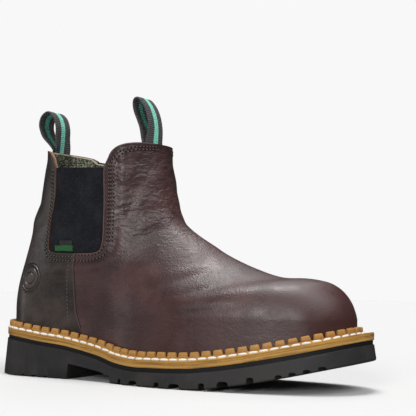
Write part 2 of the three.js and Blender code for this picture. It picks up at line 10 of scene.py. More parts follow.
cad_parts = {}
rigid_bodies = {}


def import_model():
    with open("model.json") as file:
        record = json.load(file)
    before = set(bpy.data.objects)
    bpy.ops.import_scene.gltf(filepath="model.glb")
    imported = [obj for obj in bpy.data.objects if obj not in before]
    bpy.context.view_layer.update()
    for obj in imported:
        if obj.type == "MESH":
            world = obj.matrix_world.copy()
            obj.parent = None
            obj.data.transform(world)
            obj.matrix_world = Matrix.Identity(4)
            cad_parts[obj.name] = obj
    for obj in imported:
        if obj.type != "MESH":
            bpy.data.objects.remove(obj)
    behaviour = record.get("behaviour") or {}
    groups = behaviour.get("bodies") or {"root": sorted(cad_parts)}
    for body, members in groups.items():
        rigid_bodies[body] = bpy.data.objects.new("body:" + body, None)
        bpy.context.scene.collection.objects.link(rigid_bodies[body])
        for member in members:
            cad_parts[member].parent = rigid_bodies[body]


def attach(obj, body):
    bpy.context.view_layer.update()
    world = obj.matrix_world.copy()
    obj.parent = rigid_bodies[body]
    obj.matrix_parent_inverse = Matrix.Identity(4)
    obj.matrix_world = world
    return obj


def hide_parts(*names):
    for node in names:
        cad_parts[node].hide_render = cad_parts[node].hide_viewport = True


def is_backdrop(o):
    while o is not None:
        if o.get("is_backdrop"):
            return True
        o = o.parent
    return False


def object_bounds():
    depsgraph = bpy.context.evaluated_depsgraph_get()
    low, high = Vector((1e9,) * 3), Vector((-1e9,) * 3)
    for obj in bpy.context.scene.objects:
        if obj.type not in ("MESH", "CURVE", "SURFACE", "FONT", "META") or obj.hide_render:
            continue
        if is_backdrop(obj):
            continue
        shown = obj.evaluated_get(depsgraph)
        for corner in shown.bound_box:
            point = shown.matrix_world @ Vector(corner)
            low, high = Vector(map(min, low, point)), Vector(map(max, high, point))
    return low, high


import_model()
cad_box = [list(corner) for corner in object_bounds()]
MM = 0.001

# Sizes
last_length = 291.0
ball_width = 110.0
shaft_width = 70.0
shaft_height = 148.0
instep_height = 150.0
heel_height = 31.0
outsole_thickness = 14.6
toe_spring = 22.5
midsole_thickness = 2.9
welt_thickness = 2.6
welt_reach, toe_reach, heel_reach = 8.5, 13.0, 5.8
bead_width = 3.4
tooth_pitch = 8.9
tread_flare = 1.6
heel_flare = 0.6
edge_band = 3.0
edge_recess = 0.8
elastic_sink = 0.9
elastic_thickness = 1.3
liner_wall = 2.0
vamp_step = 1.0
bead_stand = vamp_step + 0.6
ring_count = 720
web = {"width": 19.5, "thickness": 1.4, "tail": 14.0, "clearance": 0.6}
side_spans = {"lateral": (-ball_width, 0.0), "medial": (0.0, ball_width)}
origin_shift = (-1.3267, -0.2230)

# The sole's top side along the boot, shares of the heel height and of the outsole's thickness
deck_rows = [
    # share along, heel, forefoot
    (-0.02, 1.0, 0.0), (0.06, 0.975, 0.0), (0.153, 0.88, 0.0), (0.253, 0.777, 0.0),
    (0.346, 0.45, 0.365), (0.413, 0.2, 0.59), (0.512, 0.0, 0.905), (0.579, 0.0, 0.94),
    (0.68, 0.0, 1.02), (0.8, 0.0, 1.02), (1.03, 0.0, 1.0),
]
spring = {"start": 0.64, "end": 1.035, "bend": 1.35}
# Half widths of the foot, shares of the ball width
foot_rows = [
    # share along, lateral, medial
    (0.0, 0.37, 0.37), (0.07, 0.375, 0.375), (0.13, 0.325, 0.32), (0.262, 0.282, 0.275),
    (0.365, 0.305, 0.275), (0.468, 0.39, 0.325), (0.571, 0.445, 0.41), (0.657, 0.462, 0.455),
    (0.76, 0.475, 0.485), (0.846, 0.505, 0.515), (0.932, 0.57, 0.58), (1.0, 0.6, 0.61),
]
swing_rows = [(0.45, 0.0), (0.75, 0.015), (0.9, 0.04), (1.0, 0.06)]
# Half width of the leg, a share of the shaft width
leg_rows = [(0.1, 0.5), (0.43, 0.505), (0.64, 0.5), (0.87, 0.525), (1.0, 0.545), (1.15, 0.57)]
# Side outline: toe and instep above the welt, then the leg's closed top and the back
front_rows = [
    # share along, rise
    (0.984, 0.03), (0.977, 0.103), (0.965, 0.167), (0.945, 0.224), (0.92, 0.266),
    (0.893, 0.292), (0.86, 0.314), (0.793, 0.344), (0.71, 0.42), (0.637, 0.5),
    (0.6, 0.547), (0.561, 0.594), (0.53, 0.637), (0.507, 0.683), (0.491, 0.753),
    (0.478, 0.843), (0.468, 0.939), (0.455, 1.041),
]
back_rows = [
    # share along, height
    (0.445, 1.2), (0.42, 1.6), (0.285, 1.8), (0.145, 1.6), (0.104, 1.2), (0.1, 0.96),
    (0.092, 0.88), (0.083, 0.776), (0.076, 0.697), (0.064, 0.645), (0.054, 0.592),
    (0.049, 0.52), (0.033, 0.396), (0.021, 0.311), (0.011, 0.225), (0.006, 0.12),
    (0.008, 0.03),
]
# Notches of the tread
tread_rows = [
    # share along, width as a share of the length, height as a share of the outsole's thickness
    (0.115, 0.008, 0.1), (0.152, 0.019, 0.1), (0.191, 0.01, 0.1), (0.438, 0.01, 0.27),
    (0.483, 0.025, 0.25), (0.556, 0.014, 0.27), (0.605, 0.03, 0.25), (0.677, 0.015, 0.3),
    (0.73, 0.028, 0.28), (0.796, 0.018, 0.3), (0.862, 0.012, 0.2), (0.893, 0.012, 0.2),
    (0.924, 0.012, 0.2), (0.955, 0.012, 0.2),
]
# Recess of the waist between heel and forefoot: share along, share of the heel height
waist_rows = [(0.252, -0.2), (0.257, 0.375), (0.358, 0.242), (0.4, 0.15), (0.408, -0.2)]
# Soft folds and swells
fold_rows = [
    # sides, share along, height, lean in degrees, half length, half width, lift
    ("both", 0.62, 0.19, 14, 20, 2.6, -0.55), ("both", 0.615, 0.235, 14, 18, 3.0, 0.5),
    ("both", 0.60, 0.28, 16, 17, 2.4, -0.45), ("both", 0.59, 0.32, 18, 15, 3.0, 0.4),
    ("lateral", 0.66, 0.12, 9, 24, 2.4, -0.4), ("lateral", 0.66, 0.155, 9, 22, 3.0, 0.35),
    ("medial", 0.65, 0.12, 8, 24, 2.6, -0.5), ("medial", 0.65, 0.16, 8, 22, 3.0, 0.35),
    ("both", 0.47, 0.50, 28, 16, 3.2, -0.5), ("both", 0.465, 0.55, 24, 16, 3.4, 0.45),
    ("both", 0.45, 0.61, 12, 17, 3.0, -0.5), ("both", 0.445, 0.66, 8, 17, 3.4, 0.4),
    ("both", 0.43, 0.73, -4, 18, 3.0, -0.45), ("both", 0.43, 0.79, -8, 18, 3.4, 0.35),
    ("lateral", 0.408, 0.865, 10, 9, 4.5, -0.7), ("lateral", 0.385, 0.68, 80, 26, 5.0, 0.5),
    ("lateral", 0.418, 0.64, 80, 22, 4.5, -0.4), ("medial", 0.41, 0.7, 70, 22, 5.0, -0.4),
    ("lateral", 0.36, 0.30, 22, 20, 5.0, -0.35), ("medial", 0.36, 0.30, 26, 20, 5.0, -0.45),
    ("both", 0.10, 0.55, 20, 13, 3.6, -0.5), ("both", 0.10, 0.61, 16, 13, 3.8, 0.4),
    ("both", 0.125, 0.47, 34, 14, 3.6, -0.35), ("both", 0.09, 0.42, 40, 12, 3.4, 0.3),
    ("both", 0.16, 0.30, 3, 26, 2.2, 0.35), ("both", 0.16, 0.335, 3, 26, 2.2, -0.25),
]
# Blank round mark in the lateral heel quarter: rings by radius and width, and a bowl
pressed_mark = {
    "share": 0.0985, "height": 0.264, "rings": [(11.3, 1.1), (8.6, 0.9), (4.6, 0.9)],
    "bowl": (10.5, 9.0), "bowl_share": 0.5, "depth": 1.1,
}
squareness_of = {"front": 2.6, "back": 3.0, "leg": 3.4}
hub_share = (0.33, 0.09)
fan_share = (0.71, 0.77)
blend_heights = (0.09, 0.52)


def curve_through(rows, column=1):
    """Smooth curve through one column of a table, flat at its highs and lows."""
    xs = np.array([row[0] for row in rows], float)
    ys = np.array([row[column] for row in rows], float)
    chords = np.diff(ys) / np.diff(xs)
    before = np.concatenate([chords[:1], chords])
    after = np.concatenate([chords, chords[-1:]])
    safe = np.where(before * after > 0, before + after, 1.0)
    slopes = np.where(before * after > 0, 2 * before * after / safe, 0.0)

    def at(value):
        value = np.clip(np.asarray(value, float), xs[0], xs[-1])
        i = np.clip(np.searchsorted(xs, value, side="right") - 1, 0, len(xs) - 2)
        span = xs[i + 1] - xs[i]
        t = (value - xs[i]) / span
        a = 2 * t ** 3 - 3 * t ** 2 + 1
        b = t ** 3 - 2 * t ** 2 + t
        c = -2 * t ** 3 + 3 * t ** 2
        d = t ** 3 - t ** 2
        return a * ys[i] + b * span * slopes[i] + c * ys[i + 1] + d * span * slopes[i + 1]

    return at


def smooth_path(points, steps=24, closed=False):
    """Centripetal Catmull-Rom curve through points of any dimension."""
    points = np.asarray(points, float)
    if closed:
        ring = np.vstack([points[-1], points, points[0], points[1]])
    else:
        ring = np.vstack([2 * points[0] - points[1], points, 2 * points[-1] - points[-2]])
    out = []
    for p0, p1, p2, p3 in zip(ring[:-3], ring[1:-2], ring[2:-1], ring[3:]):
        d0, d1, d2 = (max(np.linalg.norm(b - a), 1e-9) ** 0.5 for a, b in ((p0, p1), (p1, p2), (p2, p3)))
        m1 = ((p1 - p0) / d0 - (p2 - p0) / (d0 + d1) + (p2 - p1) / d1) * d1
        m2 = ((p2 - p1) / d1 - (p3 - p1) / (d1 + d2) + (p3 - p2) / d2) * d1
        t = (np.arange(steps) / steps)[:, None]
        out.append(
            p1 + m1 * t + (3 * (p2 - p1) - 2 * m1 - m2) * t ** 2 + (2 * (p1 - p2) + m1 + m2) * t ** 3
        )
    if not closed:
        out.append(points[-1:])
    return np.vstack(out)


def border(inside, start, end, steps=44):
    """Where the way from start to end leaves the region that inside tells of."""
    for _ in range(steps):
        middle = (start + end) / 2
        within = inside(middle)
        start, end = np.where(within, middle, start), np.where(within, end, middle)
    return (start + end) / 2


def smoothstep(value, low, high):
    t = np.clip((value - low) / (high - low), 0.0, 1.0)
    return t * t * (3 - 2 * t)


def along(share):
    return (np.asarray(share, float) - 0.5) * last_length


def share_at(x):
    return np.asarray(x, float) / last_length + 0.5


deck_heel = curve_through(deck_rows, 1)
deck_fore = curve_through(deck_rows, 2)
foot_width = {"lateral": curve_through(foot_rows, 1), "medial": curve_through(foot_rows, 2)}
leg_width = curve_through(leg_rows)
swing_at = curve_through(swing_rows)


def tread_height(x):
    t = np.clip((share_at(x) - spring["start"]) / (spring["end"] - spring["start"]), 0, 1)
    return toe_spring * t ** spring["bend"]


def deck_height(x):
    share = share_at(x)
    return deck_heel(share) * heel_height + deck_fore(share) * outsole_thickness + tread_height(x)


def seat_height(x):
    return deck_height(x) + midsole_thickness


def welt_top(x):
    return seat_height(x) + welt_thickness


leg_base = float(welt_top(along(0.0)))


def up(height):
    return leg_base + np.asarray(height, float) * shaft_height


def centre_line(x):
    return swing_at(share_at(x)) * ball_width


def side_outline():
    front = [(along(s), welt_top(along(s)) + rise * instep_height) for s, rise in front_rows]
    back = [(along(s), up(h)) for s, h in back_rows]
    path = smooth_path(np.array(front + back, float), 12)
    run, rise = path[:, 0] - hub[0], path[:, 1] - hub[1]
    angle, reach = np.arctan2(rise, run), np.hypot(run, rise)
    keep = (angle > -0.2) | (angle < -2.9)
    angle = np.where(angle < -2.9, angle + 2 * np.pi, angle)[keep]
    return angle, reach[keep]


hub = (float(along(hub_share[0])), float(up(hub_share[1])))
outline_angle, outline_reach = side_outline()


def reach_at(angle):
    return np.interp(angle, outline_angle, outline_reach)


front_reach = float(reach_at(0.0))
back_reach = float(reach_at(np.pi))


def depth_at(x, z):
    """Share of the way from the hub to the side outline; below the hub the outline is upright."""
    run, rise = np.asarray(x, float) - hub[0], np.asarray(z, float) - hub[1]
    low = np.abs(run) / np.where(run > 0, front_reach, back_reach)
    high = np.hypot(run, rise) / reach_at(np.arctan2(np.maximum(rise, 0), run))
    return np.where(rise <= 0, low, high)


def full_width(x, z, side):
    height = (z - leg_base) / shaft_height
    foot = foot_width[side](share_at(x)) * ball_width
    return foot + (leg_width(height) * shaft_width - foot) * smoothstep(height, *blend_heights)


def squareness(x, z):
    run = x - hub[0]
    turn = run / np.maximum(np.hypot(run, z - hub[1]), 1)
    foot = squareness_of["back"] + (squareness_of["front"] - squareness_of["back"]) * (1 + turn) / 2
    t = smoothstep((z - leg_base) / shaft_height, blend_heights[1], 1)
    return foot + (squareness_of["leg"] - foot) * t * np.maximum(turn, 0) ** 0.5


def half_width(x, z, side):
    inside = 1 - depth_at(x, z) ** squareness(x, z)
    return np.where(inside > 0, full_width(x, z, side) * np.sqrt(np.maximum(inside, 0)), 0.0)


def field_at(x, y, z):
    off = y - centre_line(x)
    width = np.where(off < 0, full_width(x, z, "lateral"), full_width(x, z, "medial"))
    return (off / width) ** 2 + depth_at(x, z) ** squareness(x, z) - 1


def normal_at(x, y, z):
    e = 0.05
    n = np.stack([
        field_at(x + e, y, z) - field_at(x - e, y, z),
        field_at(x, y + e, z) - field_at(x, y - e, z),
        field_at(x, y, z + e) - field_at(x, y, z - e),
    ], -1)
    return n / np.maximum(np.linalg.norm(n, axis=-1, keepdims=True), 1e-9)


def distance_to(points, line):
    """Least distance of side-view points to a polyline."""
    best = np.full(len(points), 1e9)
    for a, b in zip(line[:-1], line[1:]):
        ab = b - a
        t = np.clip(((points - a) @ ab) / max(ab @ ab, 1e-12), 0, 1)
        gap = points - a - t[:, None] * ab
        best = np.minimum(best, np.hypot(gap[:, 0], gap[:, 1]))
    return best


# The leather sinks along this line beside the stitch rows and swells next to it
groove_rows = [
    (0.383, 0.86), (0.3835, 0.6), (0.381, 0.45), (0.3715, 0.4), (0.352, 0.363), (0.325, 0.345),
    (0.29, 0.336), (0.262, 0.341),
]
groove = {"sink": 0.45, "sink_width": 1.6, "swell": 0.3, "swell_at": 4.0, "swell_width": 2.2}
groove_line = smooth_path(np.array([(along(s), up(h)) for s, h in groove_rows], float), 5)


def relief_at(x, z, side):
    """How far the folds and the groove lift or sink the leather, in mm."""
    height = (z - leg_base) / shaft_height
    total = np.zeros(np.broadcast(x, z).shape)
    calm = 1 - 0.6 * smoothstep(depth_at(x, z), 0.8, 0.97)
    for sides, s, h, lean, long, wide, lift in fold_rows:
        if sides != "both" and sides != side:
            continue
        dx, dz = x - along(s), z - up(h)
        turn = math.radians(lean)
        a = dx * math.cos(turn) + dz * math.sin(turn)
        b = -dx * math.sin(turn) + dz * math.cos(turn)
        total = total + lift * np.exp(-(b / wide) ** 2) * np.exp(-(a / long) ** 4) * calm
    gap = distance_to(np.stack([x, z], -1).reshape(-1, 2), groove_line).reshape(x.shape)
    total = total - groove["sink"] * np.exp(-(gap / groove["sink_width"]) ** 2)
    total = total + groove["swell"] * np.exp(-((gap - groove["swell_at"]) / groove["swell_width"]) ** 2)
    return total * smoothstep(height, -0.2, 0.05)


def side_lines(drop, top, counts):
    """Lines across the side view, each from the bottom or the back to the front."""
    pivot = (float(along(fan_share[0])), float(up(fan_share[1])))
    tip, heel = hub[0] + front_reach, hub[0] - back_reach

    def floor_at(x):
        return seat_height(x) + 0.3 - drop

    starts, ends = [], []
    for i in range(counts["toe"]):
        x = pivot[0] + (tip - pivot[0]) * math.cos(i / counts["toe"] * math.pi / 2)
        starts.append((x, floor_at(x)))
        ends.append((x, hub[1] if i == 0 else pivot[1]))
    for i in range(counts["sole"] + 1):
        x = heel + (pivot[0] - heel) * (1 - i / counts["sole"]) ** 1.15
        starts.append((x, floor_at(x)))
        ends.append(pivot)
    low = float(floor_at(heel))
    levels = [low + (pivot[1] - low) * (i + 1) / counts["heel"] for i in range(counts["heel"])]
    levels += [pivot[1] + (top - pivot[1]) * (i + 1) / counts["shaft"] for i in range(counts["shaft"])]
    for i, z in enumerate(levels):
        starts.append((back_at(z), z))
        ends.append(pivot if i < counts["heel"] else (pivot[0], z))
    starts, ends = np.array(starts, float), np.array(ends, float)

    def place(t):
        return starts + (ends - starts) * t[:, None]

    zero = np.zeros(len(starts))
    reached = place(border(lambda t: depth_at(*place(t).T) <= 1, zero, zero + 1))
    reached[0] = (tip, hub[1])
    return starts, reached


def back_at(z):
    """X of the back of the side outline at a height."""
    return float(border(lambda x: depth_at(x, z) <= 1, hub[0], hub[0] - 2 * back_reach))


def skin_grid(offset, drop, top, counts, folds):
    """Closed form of the last, grown by offset in mm, as rings round the boot."""
    starts, ends = side_lines(drop, top, counts)
    n = counts["across"]
    t = (1 - np.cos(np.pi * np.arange(n + 1) / n)) / 2
    x = starts[:, :1] + (ends[:, :1] - starts[:, :1]) * t
    z = starts[:, 1:] + (ends[:, 1:] - starts[:, 1:]) * t
    centred = np.zeros(x.shape, bool)
    centred[:, -1] = True
    centred[0, :] = True
    centred[:, 0] |= depth_at(x[:, 0], z[:, 0]) > 0.9999
    sheets = []
    for side, sign in (("lateral", -1), ("medial", 1)):
        out = np.where(centred, 0.0, half_width(x, z, side))
        y = centre_line(x) + sign * out
        normal = normal_at(x, y, z)
        normal[..., 1] = np.where(centred, 0.0, normal[..., 1])
        normal[..., 2] = np.where(z <= hub[1], 0.0, normal[..., 2])
        normal /= np.maximum(np.linalg.norm(normal, axis=-1, keepdims=True), 1e-9)
        lift = offset(x, y, z) if callable(offset) else offset
        if folds:
            own = relief_at(x, z, side)
            other = relief_at(x, z, "medial" if side == "lateral" else "lateral")
            near = smoothstep(out, 0.0, 6.0)
            lift = lift + own * near + (own + other) / 2 * (1 - near)
        sheets.append(np.stack([x, y, z], -1) + normal * np.asarray(lift)[..., None])
    return np.concatenate([sheets[0], sheets[1][:, -2::-1]], axis=1)


def ring_faces(count, size, first=0, closed=False):
    """Quads between rings of points that follow one another."""
    faces = []
    for i in range(count if closed else count - 1):
        a, b = first + i * size, first + (i + 1) % count * size
        faces += [(a + j, a + (j + 1) % size, b + (j + 1) % size, b + j) for j in range(size)]
    return faces


def loft(rings):
    """Closed body from rings of equal size, with its doubled points merged."""
    count, size = rings.shape[:2]
    verts = to_frame(rings.reshape(-1, 3))
    faces = ring_faces(count, size)
    faces.append(tuple(range(size))[::-1])
    faces.append(tuple((count - 1) * size + j for j in range(size)))
    return closed_object("form", verts, faces)


def to_frame(points):
    points = np.asarray(points, float)
    return (points + np.array([origin_shift[0], origin_shift[1], 0.0])) * MM


def plain_object(name, verts, faces, edges=()):
    mesh = bpy.data.meshes.new(name)
    mesh.from_pydata([tuple(v) for v in verts], list(edges), [tuple(int(i) for i in f) for f in faces])
    mesh.update()
    piece = bpy.data.objects.new(name, mesh)
    bpy.context.scene.collection.objects.link(piece)
    return piece


def outwards(piece, work=None):
    """Turns a body's faces outwards; work is its mesh when that is being edited."""
    if work is None:
        work = bmesh.new()
        work.from_mesh(piece.data)
    bmesh.ops.recalc_face_normals(work, faces=work.faces)
    if work.calc_volume(signed=True) < 0:
        bmesh.ops.reverse_faces(work, faces=work.faces)
    work.to_mesh(piece.data)
    work.free()
    return piece


def closed_object(name, verts, faces):
    piece = plain_object(name, verts, faces)
    work = bmesh.new()
    work.from_mesh(piece.data)
    bmesh.ops.remove_doubles(work, verts=work.verts, dist=2e-6)
    bmesh.ops.dissolve_degenerate(work, edges=work.edges, dist=1e-7)
    bmesh.ops.triangulate(work, faces=[f for f in work.faces if len(f.verts) > 4])
    return outwards(piece, work)


def prism(outline, near, far):
    """A side-view outline pushed through from one side of the boot."""
    outline = np.asarray(outline, float)
    n = len(outline)
    verts = [(x, near, z) for x, z in outline] + [(x, far, z) for x, z in outline]
    faces = [tuple(range(n)), tuple(range(2 * n - 1, n - 1, -1))]
    faces += [(i, (i + 1) % n, n + (i + 1) % n, n + i) for i in range(n)]
    return closed_object("cutter", to_frame(verts), faces)


def evaluated_mesh(piece):
    graph = bpy.context.evaluated_depsgraph_get()
    return bpy.data.meshes.new_from_object(piece.evaluated_get(graph))


def carve(piece, cutter, operation="DIFFERENCE", keep=False):
    """Cuts or joins with another closed body, then drops that body."""
    step = piece.modifiers.new("carve", "BOOLEAN")
    step.operation, step.object, step.solver = operation, cutter, "MANIFOLD"
    result = evaluated_mesh(piece)
    piece.modifiers.remove(step)
    piece.data = result
    if not keep:
        bpy.data.objects.remove(cutter)


def finish_piece(piece, finish, replaced=(), sharp=38.0):
    """Gives a piece its material, soft or sharp edges and body, and hides the parts it replaces."""
    piece.data.materials.clear()
    piece.data.materials.append(finish)
    for face in piece.data.polygons:
        face.use_smooth = True
    piece.data.set_sharp_from_angle(angle=math.radians(sharp))
    if replaced:
        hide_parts(*replaced)
    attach(piece, "root")
    return piece


def put_attribute(piece, name, values):
    """One number or one vector for each point of a piece."""
    values = np.asarray(values, np.float32)
    vector = values.ndim > 1
    layer = piece.data.attributes.new(name, "FLOAT_VECTOR" if vector else "FLOAT", "POINT")
    layer.data.foreach_set("vector" if vector else "value", values.ravel())


def boot_points(piece):
    """The piece's points back in the boot's own millimetres."""
    flat = np.empty(len(piece.data.vertices) * 3)
    piece.data.vertices.foreach_get("co", flat)
    return flat.reshape(-1, 3) / MM - np.array([origin_shift[0], origin_shift[1], 0.0])


# Materials

def new_finish(name, base, roughness, **sockets):
    """Material with its constants on the shader's own sockets."""
    finish = bpy.data.materials.new(name)
    finish.use_nodes = True
    shader = finish.node_tree.nodes["Principled BSDF"]
    shader.inputs["Base Color"].default_value = (*base, 1)
    shader.inputs["Roughness"].default_value = roughness
    for socket, value in sockets.items():
        shader.inputs[socket.replace("_", " ")].default_value = value
    return finish, shader


def plain_finish(name, base, roughness, **sockets):
    return new_finish(name, base, roughness, **sockets)[0]


class Weave:
    """Short calls that add and link nodes in one material."""

    def __init__(self, finish):
        self.tree = finish.node_tree
        self.object_place = self.tree.nodes.new("ShaderNodeTexCoord").outputs["Object"]

    def node(self, kind, **values):
        made = self.tree.nodes.new(kind)
        for name, value in values.items():
            setattr(made, name, value)
        return made

    def link(self, source, target):
        self.tree.links.new(source, target)

    def feed(self, node, index, value):
        if isinstance(value, bpy.types.NodeSocket):
            self.link(value, node.inputs[index])
        else:
            node.inputs[index].default_value = value

    def place(self, scale, source=None, turn=(0, 0, 0)):
        mapping = self.node("ShaderNodeMapping")
        self.link(source or self.object_place, mapping.inputs["Vector"])
        mapping.inputs["Scale"].default_value = scale
        mapping.inputs["Rotation"].default_value = turn
        return mapping.outputs["Vector"]

    def noise(self, place, scale, detail=2.0, rough=0.5, warp=0.0):
        made = self.node("ShaderNodeTexNoise")
        self.link(place, made.inputs["Vector"])
        for name, value in (("Scale", scale), ("Detail", detail), ("Roughness", rough), ("Distortion", warp)):
            made.inputs[name].default_value = value
        return made.outputs["Fac"]

    def cells(self, place, scale, smooth=0.6):
        made = self.node("ShaderNodeTexVoronoi", feature="SMOOTH_F1")
        self.link(place, made.inputs["Vector"])
        made.inputs["Scale"].default_value = scale
        made.inputs["Smoothness"].default_value = smooth
        return made.outputs["Distance"]

    def bands(self, place, scale, direction, warp):
        made = self.node("ShaderNodeTexWave", bands_direction=direction)
        self.link(place, made.inputs["Vector"])
        made.inputs["Scale"].default_value = scale
        made.inputs["Distortion"].default_value = warp
        return made.outputs["Fac"]

    def math(self, operation, a, b=0.0, clamp=False):
        made = self.node("ShaderNodeMath", operation=operation, use_clamp=clamp)
        self.feed(made, 0, a)
        self.feed(made, 1, b)
        return made.outputs[0]

    def span(self, value, low, high, to_low=0.0, to_high=1.0):
        made = self.node("ShaderNodeMapRange", interpolation_type="SMOOTHSTEP")
        for index, item in enumerate((value, low, high, to_low, to_high)):
            self.feed(made, index, item)
        return made.outputs["Result"]

    def blend(self, share, a, b):
        made = self.node("ShaderNodeMix", data_type="RGBA")
        self.feed(made, 0, share)
        for index, item in ((6, a), (7, b)):
            self.feed(made, index, item if isinstance(item, bpy.types.NodeSocket) else (*item, 1))
        return made.outputs[2]

    def attribute(self, name, output="Fac"):
        made = self.node("ShaderNodeAttribute", attribute_name=name)
        return made.outputs[output]

    def parts(self, source):
        made = self.node("ShaderNodeSeparateXYZ")
        self.link(source, made.inputs[0])
        return made.outputs

    def bump(self, height, distance, strength=1.0, under=None):
        made = self.node("ShaderNodeBump")
        self.link(height, made.inputs["Height"])
        made.inputs["Distance"].default_value = distance
        self.feed(made, "Strength", strength)
        if under is not None:
            self.link(under, made.inputs["Normal"])
        return made.outputs["Normal"]


def pressed(w, under):
    """Bump of the round mark, over the leather's own."""
    x, y, z = w.parts(w.object_place)[:3]
    dx = w.math("SUBTRACT", x, float(along(pressed_mark["share"]) + origin_shift[0]) * MM)
    dz = w.math("SUBTRACT", z, float(up(pressed_mark["height"])) * MM)
    gap = w.math("SQRT", w.math("ADD", w.math("MULTIPLY", dx, dx), w.math("MULTIPLY", dz, dz)))
    outer, inner = (radius * MM for radius in pressed_mark["bowl"])
    height = 0.0
    for radius, width in pressed_mark["rings"]:
        off = w.math("ABSOLUTE", w.math("SUBTRACT", gap, radius * MM))
        height = w.math("SUBTRACT", height, w.span(off, width * MM, 0.0))
    bowl = w.span(gap, outer, inner, 0.0, -pressed_mark["bowl_share"])
    lateral = w.span(y, -0.004, 0.0, 1.0, 0.0)
    height = w.math("MULTIPLY", w.math("ADD", height, bowl), lateral)
    return w.bump(height, pressed_mark["depth"] * MM, 1.0, under)


def leather(name, plain, dark, light, red, roughness, grain, mark=False):
    """Waxed pull-up leather: pebble grain, level wrinkles with painted shade in their valleys, burnish, dark
    folded edges and painted shade just above the welt.
    """
    finish, shader = new_finish(
        name, plain, roughness, Specular_IOR_Level=0.7, Coat_Weight=0.1, Coat_Roughness=0.5,
    )
    w = Weave(finish)
    place = w.object_place
    cloud = w.noise(place, 26, 4, 0.62)
    fine_cloud = w.noise(place, 190, 3, 0.6)
    burnish, wrinkle, edge = (w.attribute(item) for item in ("burnish", "wrinkle", "edge"))
    colour = w.blend(w.span(cloud, 0.36, 0.66), dark, light)
    colour = w.blend(w.span(fine_cloud, 0.45, 0.75, 0.0, 0.35), colour, dark)
    level = w.place((0.5, 0.5, 1.0))
    waves = w.noise(level, 330, 0.9, 0.4, 0.5)
    # Painted shade: the wrinkles' valleys are darkened in the colour.
    crease_shade = w.math("MULTIPLY", w.span(waves, 0.47, 0.3), wrinkle)
    colour = w.blend(w.math("MULTIPLY", crease_shade, 0.4), colour, tuple(c * 0.5 for c in dark))
    colour = w.blend(w.math("MULTIPLY", burnish, 0.85), colour, red)
    # The edge share darkens the folded edges and paints shade just above the welt.
    colour = w.blend(w.math("MULTIPLY", edge, 0.38), colour, tuple(c * 0.42 for c in dark))
    w.link(colour, shader.inputs["Base Color"])
    rough = w.span(w.noise(place, 70, 3, 0.6), 0.3, 0.7, roughness - 0.07, roughness + 0.07)
    w.link(rough, shader.inputs["Roughness"])
    folds = w.bump(waves, 0.00098, wrinkle)
    swell = w.bump(w.noise(place, 95, 2, 0.5), 0.0012, 0.12, folds)
    pebble = w.cells(place, 760)
    calm = w.math("SUBTRACT", 1.0, w.math("MULTIPLY", burnish, 0.75))
    pebbled = w.bump(pebble, 0.0006, w.math("MULTIPLY", calm, grain), swell)
    pores = w.bump(w.noise(place, 2300, 2, 0.6), 0.0001, 0.35, pebbled)
    w.link(pressed(w, pores) if mark else pores, shader.inputs["Normal"])
    return finish


def twill(name, base, pale, scale, depth, slant=0):
    """Cloth of crossed threads on Object coordinates; slant is in degrees."""
    finish, shader = new_finish(name, base, 0.85, Specular_IOR_Level=0.2)
    w = Weave(finish)
    speckle = w.noise(w.object_place, 800, 1, 0.5)
    slanted = w.place((1, 1, 1), turn=(0, math.radians(slant), 0))
    threads = w.math("MULTIPLY", w.bands(slanted, scale, "X", 0.6), w.bands(slanted, scale * 1.1, "Z", 0.6))
    cloud = w.noise(w.object_place, 60, 3, 0.6)
    fuzz = w.noise(w.object_place, 1500, 2, 0.6)
    mottle = w.math("ADD", threads, w.span(cloud, 0.4, 0.7))
    colour = w.blend(w.math("MULTIPLY", mottle, 0.3), base, pale)
    colour = w.blend(w.span(speckle, 0.55, 0.7, 0.0, 0.45), colour, pale)
    w.link(colour, shader.inputs["Base Color"])
    woven = w.bump(threads, depth, 0.8, w.bump(fuzz, depth * 0.6, 0.5))
    w.link(woven, shader.inputs["Normal"])
    return finish


def mottled_knit(name, base, pale):
    """Knit of dark and pale loops."""
    finish, shader = new_finish(name, base, 0.9)
    w = Weave(finish)
    loops = w.noise(w.place((1, 1, 1.5)), 620, 2, 0.6)
    patches = w.noise(w.object_place, 150, 2, 0.5)
    mixed = w.math("ADD", w.math("MULTIPLY", loops, 0.75), w.math("MULTIPLY", patches, 0.25))
    w.link(w.blend(w.span(mixed, 0.42, 0.6), base, pale), shader.inputs["Base Color"])
    w.link(w.bump(loops, 0.0009, 0.9), shader.inputs["Normal"])
    return finish


def rubber_finish():
    """Dull black rubber with painted shade along the recessed line under the midsole and a little dust."""
    finish, shader = new_finish("sole_rubber", (0.02, 0.018, 0.018), 0.62, Specular_IOR_Level=0.35)
    w = Weave(finish)
    height = w.parts(w.attribute("layer", "Vector"))[2]
    cloud = w.noise(w.object_place, 30, 4, 0.6)
    colour = w.blend(w.span(cloud, 0.35, 0.7), (0.018, 0.0165, 0.017), (0.032, 0.029, 0.028))
    # Painted shade: a near-black band in the recess under the midsole.
    band = w.span(height, -(edge_band + 0.4) * MM, -(edge_band - 0.1) * MM)
    colour = w.blend(band, colour, (0.006, 0.006, 0.007))
    dust = w.span(w.noise(w.object_place, 240, 4, 0.7), 0.6, 0.8, 0.0, 0.25)
    colour = w.blend(dust, colour, (0.06, 0.055, 0.05))
    w.link(colour, shader.inputs["Base Color"])
    w.link(w.span(cloud, 0.3, 0.7, 0.55, 0.7), shader.inputs["Roughness"])
    skin = w.bump(w.noise(w.object_place, 900, 3, 0.6), 0.00016, 0.6)
    w.link(w.bump(w.noise(w.object_place, 130, 2, 0.5), 0.0005, 0.3, skin), shader.inputs["Normal"])
    return finish


